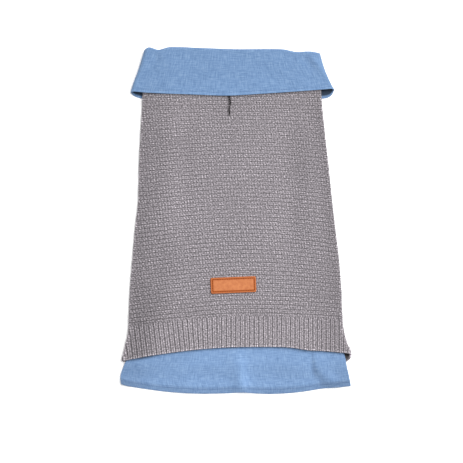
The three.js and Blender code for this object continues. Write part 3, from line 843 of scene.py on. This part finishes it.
def v_of_ridge(ridge):
    """v where that many ridges are past."""
    grid = np.linspace(0, 1, 2001)
    return np.interp(ridge, ridge_at(grid), grid)


def garter_rows(first, last):
    """Where the mesh has rows, in ridges, from one ridge up to another."""
    return [ridge + place for ridge in range(first, last) for place in GRID_ROWS]


def columns(first, last, each):
    """Where the mesh has columns, so many for each wale or rib."""
    return np.arange(first * each, last * each + 1) / each


def body_row(v):
    """y of a row of the body, whose ridges arch up in the middle of the top side."""

    def row(x, u):
        arch = np.where(x < ARCH["x"], ARCH["left"], ARCH["right"]) * ((x - ARCH["x"]) / ARCH["reach"]) ** 2
        arch = arch * smoothstep(v, 0, 0.3) * (1 - smoothstep(v, 0.7, 1))
        return lerp(NECK_Y, waist_of(x, u), v) + arch * top_share(u)

    return row


def wale_across(wale, y):
    """Distance across the cloth of a wale at y. Wales lean to the right, and draw in over the rib."""
    straight = (wale - 0.0008 * wale**2) * WALE
    low = np.maximum(GATHER_Y - y, 0)
    gather = np.where(low < GATHER_EASE, low**2 / (2 * GATHER_EASE), low - GATHER_EASE / 2)
    side = np.tanh((straight + LEAN * 220 - 15) / 32)
    return straight + LEAN * (NECK_Y - y) - gather * (0.05 + 0.13 * side)


def knit_painted_shade(u, x, y):
    """The knit's painted shade, less a painted highlight along the two side folds, where the fuzzy yarn
    catches light.
    """
    # painted highlight along the side folds, stronger on the left
    painted_highlight = 0.95 * bell(x - body_left(y), 1.9) + 0.35 * bell(body_right(y) - x, 1.6)
    return ridges(KNIT_PAINTED_SHADE, x, y) * top_share(u) - painted_highlight


def from_seam(u):
    """How far u is from the nearer side seam."""
    return np.minimum(u - UNDER_SEAM, LOOP - UNDER_SEAM - u)


def at_seam(u, side):
    """Where u has reached the side seam at the start, 0, or the end, -1, of the back's rows."""
    return u <= UNDER_SEAM + 1e-9 if side == 0 else u >= LOOP - UNDER_SEAM - 1e-9


def back_knit(material):
    """The back panel, on a grid whose columns follow the wales and whose rows follow the ridges."""

    def place(wale, v):
        return crossing(body_row(v), lambda y: wale_across(wale, y), np.zeros_like(wale))

    def height(wale, v):
        u, p = place(wale, v)
        x, y = p[..., 0], p[..., 1]
        on_floor = 1 - smoothstep(past_underside(u), 0.0, 0.45)
        stitch = stitch_height(x, y, wale, ridge_at(v)) - PROUD * on_floor
        shown = smoothstep(ridge_at(v), COVERED + 0.4, COVERED + 1.0)
        lip = slit_lip(x, y)
        return stitch * shown * smoothstep(from_seam(u), 0.0, 0.03) * (1 - lip) + lip * 0.1

    def hollow(wale, v):
        u, p = place(wale, v)
        x, y = p[..., 0], p[..., 1]
        # painted shade along the slit's lips, a thin painted shadow under the collar's edge, and the knit's
        # painted shade and highlights
        return 0.8 * slit_lip(x, y) + knit_painted_shade(u, x, y) + 0.35 * bell(leaf_edge_y(x) - y, 2.4)

    wales = columns(-58, 47, 4)
    vs = v_of_ridge(np.array(list(range(COVERED)) + garter_rows(COVERED, math.ceil(RIDGES))))
    return wall(
        "back_knit", material, lambda wale, v: place(wale, v)[1], wales, vs, KNIT,
        lambda wale, v: np.stack([wale, ridge_at(v)], -1), height,
        inner_us=wales[::8], inner_vs=np.linspace(0, 1, 24), hollow=hollow,
        merge=lambda wale, v, side: at_seam(place(wale, v)[0], side),
    )


def slit_lip(x, y):
    """1 along the turned-in edges of the slit, fading out round them."""
    past_side = np.maximum(np.abs(x - slit_x(y)) - slit_half(y), 0)
    past_end = np.maximum(np.abs(y - SLIT["y"]) - SLIT["length"] / 2, 0)
    return 1 - smoothstep(np.hypot(past_side, past_end), 0.2, 1.0)


def cut_slit(panel):
    """Cuts the leash slit through the panel's top side with a lens-shaped blade."""
    w = Weaver()
    y = SLIT["y"] + SLIT["length"] * (np.linspace(0, 1, 29) - 0.5)
    half = slit_half(y)
    corners = ((-1, 2.9), (1, 2.9), (1, 14.0), (-1, 14.0))  # side and height of the blade's four edges
    edges = [np.stack([slit_x(y) + side * half, y, np.full_like(y, z)], -1) for side, z in corners]
    ids = w.add_points(np.array(edges))
    loop = np.concatenate([ids, ids[:1]])
    w.add_grid(loop, np.zeros((*loop.shape, 2)), (0, 0, 1, 1))
    for cap in (ids[:, :1].T, ids[::-1, -1:].T):
        w.add_faces(cap, np.zeros((1, 4, 2)), np.zeros((1, 4, 2)))
    cut_out(panel, w.build("blade", panel.data.materials[0]))


# ------------------------ knitted hem of the back


def rib_relief(rib, course):
    """Relief of 1x1 rib from 0 to 1: a column of V stitches on each rib and a deep hollow between ribs."""
    place = rib % 1
    vees = 0.5 + 0.5 * np.cos(2 * np.pi * (course + 2.2 * np.abs(place - 0.5)))
    return (0.80 * swell(2 * place) + 0.36 * swell(place)) * (0.74 + 0.26 * vees)


def hem_rib_back(material):
    """The back's hem rib, on a grid whose columns follow the ribs, which lean on the left."""
    courses = RIB_LENGTH / COURSE

    def place(rib, v):
        across = RIB * rib - 0.007 * rib**2
        lean = 0.12 * (1 - smoothstep(across, -70, -10))
        row = lambda x, u: lerp(waist_of(x, u) - 0.02, lerp(HEM_UNDER_Y, hem_y(x), top_share(u)), v)
        return crossing(row, lambda y: across + lean * (-125 - y), across)

    def height(rib, v):
        u, p = place(rib, v)
        from_edge = (1 - v) * RIB_LENGTH
        uneven = 1 + 0.08 * ripple(p[..., 0], p[..., 1], 14, 8)
        relief = np.minimum(rib_relief(rib, v * courses) * uneven, 1)
        cast_on = 1 - smoothstep(from_edge, 1.3, 2.3)
        relief = lerp(relief, np.maximum(relief, 0.75), cast_on)
        fold = bell(past_underside(u) - 0.5, 0.35)
        stitch = RIB_RELIEF * (relief - 1) * (1 - 0.8 * fold) - 0.3 * fold
        bound = 0.25 * bell(from_edge - 0.9, 0.7)
        off_floor = smoothstep(past_underside(u), 0.3, 1.0)
        turned = np.sqrt(1 - np.clip(1 - from_edge / 1.3, 0, 1) ** 2)
        return (stitch + (RIB_PROUD + bound) * off_floor) * smoothstep(from_seam(u), 0.0, 0.03) * turned

    def hollow(rib, v):
        u, p = place(rib, v)
        edge = smoothstep(v, 1 - 2.4 / RIB_LENGTH, 1 - 1.2 / RIB_LENGTH)
        # the knit's painted shade and highlights, and a painted highlight along the rounded cast-on edge
        # against its shade
        return knit_painted_shade(u, p[..., 0], p[..., 1]) - 0.42 * edge

    ribs = columns(-34, 35, 8)
    last = [0.975, 0.985, 0.992, 0.997, 1]
    return wall(
        "hem_rib_back_knit", material, lambda rib, v: place(rib, v)[1], ribs,
        np.concatenate([np.linspace(0, 0.965, int(courses) * 5), last]), KNIT,
        lambda rib, v: np.stack([rib, v * courses], -1), height,
        inner_us=ribs[::2], inner_vs=np.concatenate([np.linspace(0, 0.96, 8), last]), hollow=hollow,
        # painted shade on the inner face, seen through the opening at the rib's corners
        inside=lambda rib, v: 0.93 * smoothstep((1 - v) * RIB_LENGTH, 0.2, 2.5),
        edge=lambda rib, v: (1 - v) * RIB_LENGTH + 0.1,
        merge=lambda rib, v, side: at_seam(place(rib, v)[0], side),
    )


# ------------------------ belly side


def strip(y_of):
    """A flat strip of the underside, from the right side seam to the left one, so that it faces down."""

    def surface(u, v):
        y = y_of(v)
        section = body_section(y)
        left, _ = loop_point(np.full_like(u, UNDER_SEAM), section)
        right, _ = loop_point(np.full_like(u, LOOP - UNDER_SEAM), section)
        return np.stack([lerp(right - GAP, left + GAP, u), y + 0 * u, section[2] + 0 * u], -1)

    return surface


def strip_seam(u):
    """0 at the strip's side seams and 1 just past them."""
    return smoothstep(np.minimum(u, 1 - u), 0.0, 0.01)


def strip_edge(length):
    """The distance in from the edges of a strip of that length."""
    return lambda u, v: np.minimum(np.minimum(v, 1 - v) * length, np.minimum(u, 1 - u) * STRIP_WIDTH) + 0.15


def belly_knit(material):
    """The belly panel, with its two leg openings."""
    surface = strip(lambda v: lerp(NECK_Y, WAIST_UNDER_Y, v))

    def cloth(u, v):
        return np.stack([surface(u, v)[..., 0] / WALE, v * BELLY_RIDGES], -1)

    def height(u, v):
        p = surface(u, v)
        stitch = stitch_height(p[..., 0], p[..., 1], p[..., 0] / WALE, v * BELLY_RIDGES)
        return (stitch - PROUD) * strip_seam(u)

    vs = np.array(garter_rows(0, BELLY_RIDGES) + [BELLY_RIDGES]) / BELLY_RIDGES
    panel = wall(
        "belly_knit", material, surface, np.linspace(0, 1, 220), vs, KNIT, cloth, height,
        inner_us=np.linspace(0, 1, 30), inner_vs=np.linspace(0, 1, 24),
        edge=strip_edge(NECK_Y - WAIST_UNDER_Y),
    )
    for side in (-1, 1):
        bpy.ops.mesh.primitive_cylinder_add(vertices=96, radius=0.5 * MM, depth=20 * MM)
        hole = bpy.context.object
        hole.scale = (LEG["width"], LEG["length"], 1)
        hole.location = ((leg_x(side) - ORIGIN[0]) * MM, (LEG["y"] - ORIGIN[1]) * MM, 0)
        bpy.context.view_layer.update()
        cut_out(panel, hole)
    return panel


def leg_x(side):
    """x of the middle of the left leg opening, side -1, or of the right one, side 1."""
    return side * LEG["x"] + float((body_left(LEG["y"]) + body_right(LEG["y"])) / 2)


def leg_edge(name, side, material):
    """The turned and oversewn edge of a leg opening."""
    around = np.linspace(0, 2 * np.pi, 241)[:-1]
    across = np.linspace(0, 2 * np.pi, 13)[:-1]
    v, u = np.meshgrid(across, around, indexing="ij")
    reach = 1.5 * np.cos(v) * (1 + 0.12 * np.cos(u * 80))
    x = leg_x(side) + np.cos(u) * (LEG["width"] / 2 + reach)
    y = LEG["y"] + np.sin(u) * (LEG["length"] / 2 + reach)
    z = KNIT / 2 + 1.12 * np.sin(v)
    w = Weaver()
    # the hollow value paints shade between the oversewn wraps
    ids = w.add_points(np.stack([x, y, z], -1), 0.5 - 0.5 * np.cos(u * 80))
    cloth = np.stack([u * 10, v / 3], -1)
    ids, cloth = np.concatenate([ids, ids[:1]]), np.concatenate([cloth, cloth[-1:] + 0.17])
    w.add_grid(*close_ring(ids, cloth), (0, 0, 1, 1))
    return w.build(name, material)


def hem_rib_belly(material):
    """The belly's hem rib."""
    start, length = WAIST_UNDER_Y - SEAM, WAIST_UNDER_Y - SEAM - HEM_UNDER_Y
    courses = length / COURSE

    def height(u, v):
        stitch = RIB_RELIEF * 0.8 * (rib_relief(u * BELLY_RIBS, v * courses) - 1)
        return stitch * strip_seam(u) * smoothstep(v, -0.02, 0.06)

    return wall(
        "hem_rib_belly_knit", material, strip(lambda v: start - v * length),
        np.linspace(0, 1, BELLY_RIBS * 8 + 1), np.linspace(0, 1, 70), KNIT,
        lambda u, v: np.stack([u * BELLY_RIBS, v * courses], -1), height,
        inner_us=np.linspace(0, 1, 30), inner_vs=np.linspace(0, 1, 6), edge=strip_edge(length),
    )


# ------------------------ collar and shirttail


def from_leaf_edge(v):
    """Distance in from the collar's free edge."""
    return (3 - v) * LEAF_LENGTH


def collar_relief(u, v):
    """Soft waves and creases of the turned leaf, and the groove that its edge stitching pulls in."""
    p = collar_point(u, v)
    x, y = p[..., 0], p[..., 1]
    on_leaf = smoothstep(v, 1.9, 2.2) * top_share(u)
    soft = 0.14 * ripple(x, y, 34, 11) + 0.05 * ripple(x, y, 9, 12)
    groove = -0.14 * bell(from_leaf_edge(v) - COLLAR_STITCH, 0.7) * (v > 2)
    return (soft + ridges(COLLAR_CREASES, x, y)) * on_leaf * smoothstep(3 - v, 0, 0.08) + groove


def collar(material):
    """The collar: a ring of shirt cloth that stands up inside the neck and turns down over the knit."""
    lengths = np.cumsum([0, STAND_LENGTH, TURN_LENGTH, LEAF_LENGTH])

    def cloth(u, v):
        along = np.where(u % LOOP <= 1, -u * 90, np.where(u > 4, 200 + u * 90, (u - 2) * 190))
        return np.stack([along, np.interp(v, range(4), lengths)], -1)

    def hollow(u, v):
        p = collar_point(u, v)
        edge = from_leaf_edge(v)
        # lighter below the edge stitching, with a painted highlight on the rounded edge, painted shade in
        # the stitching's groove, and the collar's painted shade
        band = 0.16 * (1 - smoothstep(edge, COLLAR_STITCH, COLLAR_STITCH + 1.5)) + 0.2 * bell(edge, 0.8)
        stitch = 0.2 * bell(edge - COLLAR_STITCH, 0.5)
        return np.where(v > 2, stitch - band, 0.0) + ridges(COLLAR_PAINTED_SHADE, p[..., 0], p[..., 1])

    def inside(u, v):
        """The inside of the turned-down collar is in shade, but for its very edge."""
        return 2.1 * smoothstep(from_leaf_edge(v), 1.4, 4.2) * (v > 1.5)

    zone = lambda a, b, n: np.linspace(a, b, n + 1)[:-1]
    us = np.concatenate([zone(k, k + 1, count) for k, count in enumerate((40, 14, 150, 14, 40))])
    vs = [zone(0, 1, 8), zone(1, 2, 12), zone(2, 2.9, 30), zone(2.9, 3, 16), [3 - 0.004, 3 - 0.0015, 3]]
    return wall(
        "collar_cloth", material, collar_point, us, np.concatenate(vs), WOVEN, cloth, collar_relief,
        hollow=hollow, inside=inside, edge=lambda u, v: from_leaf_edge(v) + 0.02, ring=True,
    )


def from_tail_edge(v):
    """Distance up from the shirttail's lower edge."""
    return (1 - v) * TAIL_LENGTH


def tail_rim(u, v):
    """Distance in from the shirttail's sides and lower edge."""
    return np.minimum(np.minimum(u, 1 - u) * TAIL_WIDTH, from_tail_edge(v)) + 0.02


def tail_relief(u, v):
    """Soft waves and creases past the hem rib, the turned hem's step and the groove of its stitching."""
    p = tail_point(u, v)
    x, y = p[..., 0], p[..., 1]
    out = smoothstep(-y, 148, 156)
    fold = 0.22 * (1 - smoothstep(from_tail_edge(v), HEM_FOLD - 0.5, HEM_FOLD + 0.3))
    groove = -0.14 * bell(from_tail_edge(v) - HEM_STITCH, 0.5)
    soft = 0.12 * ripple(x, y, 30, 21) + 0.05 * ripple(x, y, 8, 22)
    return (soft + ridges(TAIL_CREASES, x, y)) * out * smoothstep(tail_rim(u, v), 0, 4) + fold + groove


def shirttail(material):
    """The shirttail, which comes out from under the hem rib."""

    def hollow(u, v):
        p = tail_point(u, v)
        # painted shade along the groove of the hem's stitching, a darker hem band, and the shirttail's
        # painted shade and highlights
        line = 0.15 * bell(from_tail_edge(v) - HEM_STITCH, 0.6)
        band = 0.46 * (1 - smoothstep(from_tail_edge(v), HEM_FOLD, HEM_FOLD + 2.5))
        return line + band + ridges(TAIL_PAINTED_SHADE, p[..., 0], p[..., 1])

    us = [[0, 0.0004, 0.0012, 0.0021], np.linspace(0.004, 0.996, 180), [0.9979, 0.9988, 0.9996, 1]]
    hidden, shown = np.linspace(0, 0.3, 6)[:-1], np.linspace(0.3, 0.86, 36)[:-1]
    vs = [hidden, shown, np.linspace(0.86, 0.992, 26), [0.995, 0.998, 0.9992, 1]]
    return wall(
        "shirttail_cloth", material, tail_point, np.concatenate(us), np.concatenate(vs), WOVEN,
        lambda u, v: np.stack([u * TAIL_WIDTH, v * TAIL_LENGTH], -1), tail_relief,
        hollow=hollow, edge=tail_rim,
    )


# ------------------------ patch and sewing


def patch_points(flat, rise, inset):
    """Points at places on the patch and heights over its underside.

    Inside its stitching, which is what inset is for, the leather's face swells and dips a little.
    """
    turn = math.radians(PATCH["turn"])
    along, up = np.array([math.cos(turn), math.sin(turn)]), np.array([-math.sin(turn), math.cos(turn)])
    xy = np.array([PATCH["x"], PATCH["y"]]) + flat[..., :1] * along + flat[..., 1:] * up
    x, y = xy[..., 0], xy[..., 1]
    bend = 0.10 * ripple(x, y, 26, 31) * smoothstep(inset, 0.5, 5)
    return np.stack([x, y, body_top(x, y) + GAP + rise + bend], -1)


def evenly(line, count):
    """That many points evenly spaced along a line, without its end."""
    along = distances(line)
    return rows_at(np.arange(count) / count * along[-1], along, line)


def round_rectangle(inset, corner, across, up):
    """Points round the patch's outline or one inside it, from the middle of its lower right corner.

    Its sides meet at the middles of the corners and have up or across evenly spaced points each.
    """
    a, b = PATCH["width"] / 2 - inset - corner, PATCH["height"] / 2 - inset - corner
    middles = np.array([(a, -b), (a, b), (-a, b), (-a, -b), (a, -b)])
    sides = []
    for k, count in enumerate((up, across, up, across)):
        arcs = []
        for middle, start in ((middles[k], 90 * k - 45), (middles[k + 1], 90 * k)):
            angle = np.radians(start + np.linspace(0, 45, 7))
            arcs.append(middle + corner * np.stack([np.cos(angle), np.sin(angle)], -1))
        sides.append(evenly(np.concatenate(arcs), count))
    return np.concatenate(sides)


def patch_map(flat, scale, start, height):
    """The place of the patch's points on the baked map."""
    return (flat / [PATCH["width"], PATCH["height"]] * scale + 0.5) * [1, height] + [0, start]


def label_patch(material):
    """A leather patch with a softly rounded edge and a pressed stitching line, lying on the knit."""
    steps = [  # distance in from the edge, height over the patch's underside, how pressed it looks
        (0.35, 0.0, 0.6),
        (0.08, 0.25, 0.6),
        (0.0, 0.7, 0.7),
        (0.12, 1.12, 0.6),
        (0.4, 1.34, 0.45),
        (0.9, 1.42, 0.32),
        (1.45, 1.38, 0.65),
        (BORDER - 0.3, 1.14, 1.15),
        (BORDER, 1.05, 1.25),
        (BORDER + 0.3, 1.14, 1.15),
        (BORDER + 0.7, 1.36, 0.65),
        (3.4, LEATHER, 0.08),
    ]
    w = Weaver()
    rings, flats = [], []
    for inset, rise, pressed in steps:
        flat = round_rectangle(inset, max(PATCH["corner"] - inset, 0.25), *PATCH_POINTS)
        rings.append(w.add_points(patch_points(flat, rise, inset), np.full(len(flat), pressed)))
        flats.append(flat)
    rings, flats = (np.concatenate([a, a[:, :1]], 1) for a in (np.array(rings), np.array(flats)))
    for k, (_, rise, _) in enumerate(steps[:-1]):
        at = flats[k : k + 2]
        shown = patch_map(at, 0.9 if rise > 0.6 else 0.98, 0, 0.8)
        w.add_faces(*[quads(values) for values in (rings[k : k + 2], at, shown)])
    fill(w, rings[-1], flats[-1], LEATHER, (0, 0.8), False)
    fill(w, rings[0], flats[0], 0, (0.8, 0.2), True)
    return w.build("label_leather", material)


def fill(w, ring, flat, rise, place, flip):
    """Closes a ring of the patch with a grid between its four sides, at a height over its underside."""
    across, up = PATCH_POINTS
    ends = np.cumsum([0, up, across, up, across])

    def sides(values):
        """The ring's right, top, left and bottom side, each from its lower or left end."""
        right, top, left, bottom = (values[a : b + 1] for a, b in zip(ends, ends[1:]))
        return right, top[::-1], left[::-1], bottom

    right, top, left, bottom = sides(flat)
    s, t = np.linspace(0, 1, across + 1)[None, :, None], np.linspace(0, 1, up + 1)[:, None, None]
    at = lerp(bottom[None], top[None], t) + lerp(left[:, None], right[:, None], s)
    at -= lerp(lerp(left[0], right[0], s), lerp(left[-1], right[-1], s), t)
    ids = np.empty((up + 1, across + 1), int)
    ids[:, -1], ids[-1], ids[:, 0], ids[0] = sides(ring)
    ids[1:-1, 1:-1] = w.add_points(patch_points(at[1:-1, 1:-1], rise, PATCH["height"] / 2))
    w.add_faces(*[quads(values, flip) for values in (ids, at, patch_map(at, 0.9, *place))])


def stitches(name, material, path, normal, length, pitch, thickness):
    """Short thread stitches along a path, each an arched capsule that dips into the cloth at both ends."""
    along = distances(path)
    count = max(int(along[-1] / pitch), 1)
    start = (np.arange(count) + 0.5) * along[-1] / count
    t = np.linspace(-1, 1, 7)
    at = start[:, None] + t * length / 2
    centre, up = rows_at(at, along, path), rows_at(at, along, normal)
    side = unit(np.cross(unit(np.gradient(centre, axis=1)), up))
    centre = centre + up * (thickness * (0.55 - 0.9 * t**4))[None, :, None]
    radius = thickness / 2 * np.sqrt(np.maximum(1 - np.abs(t) ** 5, 0.05))
    angle = np.linspace(0, 2 * np.pi, 7)[:-1]
    ring = np.cos(angle)[:, None] * side[:, :, None] + np.sin(angle)[:, None] * up[:, :, None]
    w = Weaver()
    ids = w.add_points(centre[:, :, None] + ring * radius[None, :, None, None])
    cloth = np.stack(np.broadcast_arrays(at[:, :, None], angle), -1)
    stitch = (np.arange(count)[:, None, None] + 0.9 * (t[None, :, None] + 1) / 2) / count
    bake = np.stack(np.broadcast_arrays(stitch, angle / (2 * np.pi) * 0.9), -1)
    following = lambda values: np.roll(values, -1, axis=2)
    faces = []
    for values in (ids, cloth, bake):
        near, far = values[:, :-1], values[:, 1:]
        cells = np.stack([far, following(far), following(near), near], 3)
        faces.append(cells.reshape(-1, *cells.shape[3:]))
    w.add_faces(*faces)
    for end, turn in ((0, 1), (-1, -1)):
        for corners in ([0, 1, 2, 3], [0, 3, 4, 5]):
            cap = ids[:, end][:, corners[::turn]]
            w.add_faces(cap, np.zeros((count, 4, 2)), np.full((count, 4, 2), 0.99))
    return w.build(name, material)


def on_cloth(surface, relief, us, v):
    """A path on a woven wall's outer face, and its normals."""
    vs = np.full_like(us, v)
    n = normals(surface, us, vs)
    return surface(us, vs) + n * (WOVEN / 2 + relief(us, vs))[:, None], n


def sewing(cloth_thread, patch_thread):
    """The stitches of the collar's edge, of the shirttail's hem and round the patch."""
    us = np.linspace(1.2, 3.8, 700)
    path, n = on_cloth(collar_point, collar_relief, us, 3 - COLLAR_STITCH / LEAF_LENGTH)
    on_collar = stitches("collar_edge_stitching", cloth_thread, path, n, 1.9, 2.7, 0.34)
    us = np.linspace(0.006, 0.994, 700)
    path, n = on_cloth(tail_point, tail_relief, us, 1 - HEM_STITCH / TAIL_LENGTH)
    on_hem = stitches("shirttail_hem_stitching", cloth_thread, path, n, 1.8, 3.3, 0.4)
    flat = round_rectangle(BORDER, 0.6, 220, 80)
    path = patch_points(np.concatenate([flat, flat[:1]]), GROOVE, 0)
    n = np.tile([0.0, 0, 1], (len(path), 1))
    on_patch = stitches("label_stitching", patch_thread, path, n, 1.9, 2.5, 0.5)
    return [on_collar, on_hem, on_patch]


# ------------------------ the jacket

knit = marl_material("marled_garter", garter_nodes, 1.9, 3.1)
rib_knit = marl_material("marled_rib", rib_nodes, 3.2, 1.6)
# the collar and shirttail are one chambray; the collar's copy is darker, a painted shade
collar_blue_shaded = woven_material("collar_chambray_shaded", 0.127, 0.218, 0.378)
tail_blue = woven_material("shirttail_chambray", 0.166, 0.276, 0.474)
leather = leather_material()
blue_thread = thread_material("blue_thread", (0.13, 0.22, 0.42))
tan_thread = thread_material("tan_thread", (0.30, 0.075, 0.016))

back = back_knit(knit)
cut_slit(back)
belly = belly_knit(knit)
rib_back = hem_rib_back(rib_knit)
rib_belly = hem_rib_belly(rib_knit)
leg_edges = [leg_edge("leg_edge_left", -1, knit), leg_edge("leg_edge_right", 1, knit)]
collar_cloth = collar(collar_blue_shaded)
tail = shirttail(tail_blue)
patch = label_patch(leather)
threads = sewing(blue_thread, tan_thread)

pieces = [
    (back, "grey_knit", "back_panel"),
    (belly, "grey_knit", "belly_panel"),
    (rib_back, "grey_knit", "hem_rib_back"),
    (rib_belly, "grey_knit", "hem_rib_belly"),
    (collar_cloth, "blue_woven", "collar"),
    (tail, "blue_woven", "shirttail"),
    (patch, "tan_leather", "label_patch"),
    (leg_edges[0], "grey_knit", None),
    (leg_edges[1], "grey_knit", None),
    (threads[0], "blue_woven", None),
    (threads[1], "blue_woven", None),
    (threads[2], "tan_leather", None),
]
for piece, slot, node in pieces:
    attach(piece, BODY)
    if node:
        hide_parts(node)

# ------------------------ stage, light and camera


def floor():
    """A white floor just under the jacket."""
    bpy.ops.mesh.primitive_plane_add(size=6, location=(0, 0, -0.3 * MM))
    plane = bpy.context.object
    plane.name = "floor"
    n = Nodes("floor_white", roughness=1.0, emission_color=(1, 1, 1, 1), emission_strength=0.2)
    n.shader.inputs["Specular IOR Level"].default_value = 0.0
    plane.data.materials.append(n.finish((0.95, 0.95, 0.95, 1)))


def key_light():
    """A broad soft light from the upper right of the head end, at the jacket's middle."""
    light = bpy.data.lights.new("key", "AREA")
    light.shape, light.size, light.energy = "DISK", 1.8, 83
    obj = add_object("key", light)
    obj.location = (0.9, 0.75, 2.0)
    obj.rotation_euler = (-Vector(obj.location)).to_track_quat("-Z", "Y").to_euler()


def daylight():
    """Even white light from all round, shown as it is."""
    world = bpy.data.worlds.new("studio")
    world.use_nodes = True
    background = world.node_tree.nodes["Background"]
    background.inputs["Color"].default_value = (1, 1, 1, 1)
    background.inputs["Strength"].default_value = 0.42
    bpy.context.scene.world = world
    bpy.context.scene.view_settings.view_transform = "Standard"


def camera():
    """Straight down from 2 m, framing 500 mm."""
    data = bpy.data.cameras.new("camera")
    data.sensor_width, data.lens = 36, 36 * 2.0 / 0.5
    data.clip_start, data.clip_end = 0.1, 20
    obj = add_object("camera", data)
    obj.location = ((-4.3 - ORIGIN[0]) * MM, (-11.9 - ORIGIN[1]) * MM, 2.0)
    bpy.context.scene.camera = obj


floor()
key_light()
daylight()
camera()
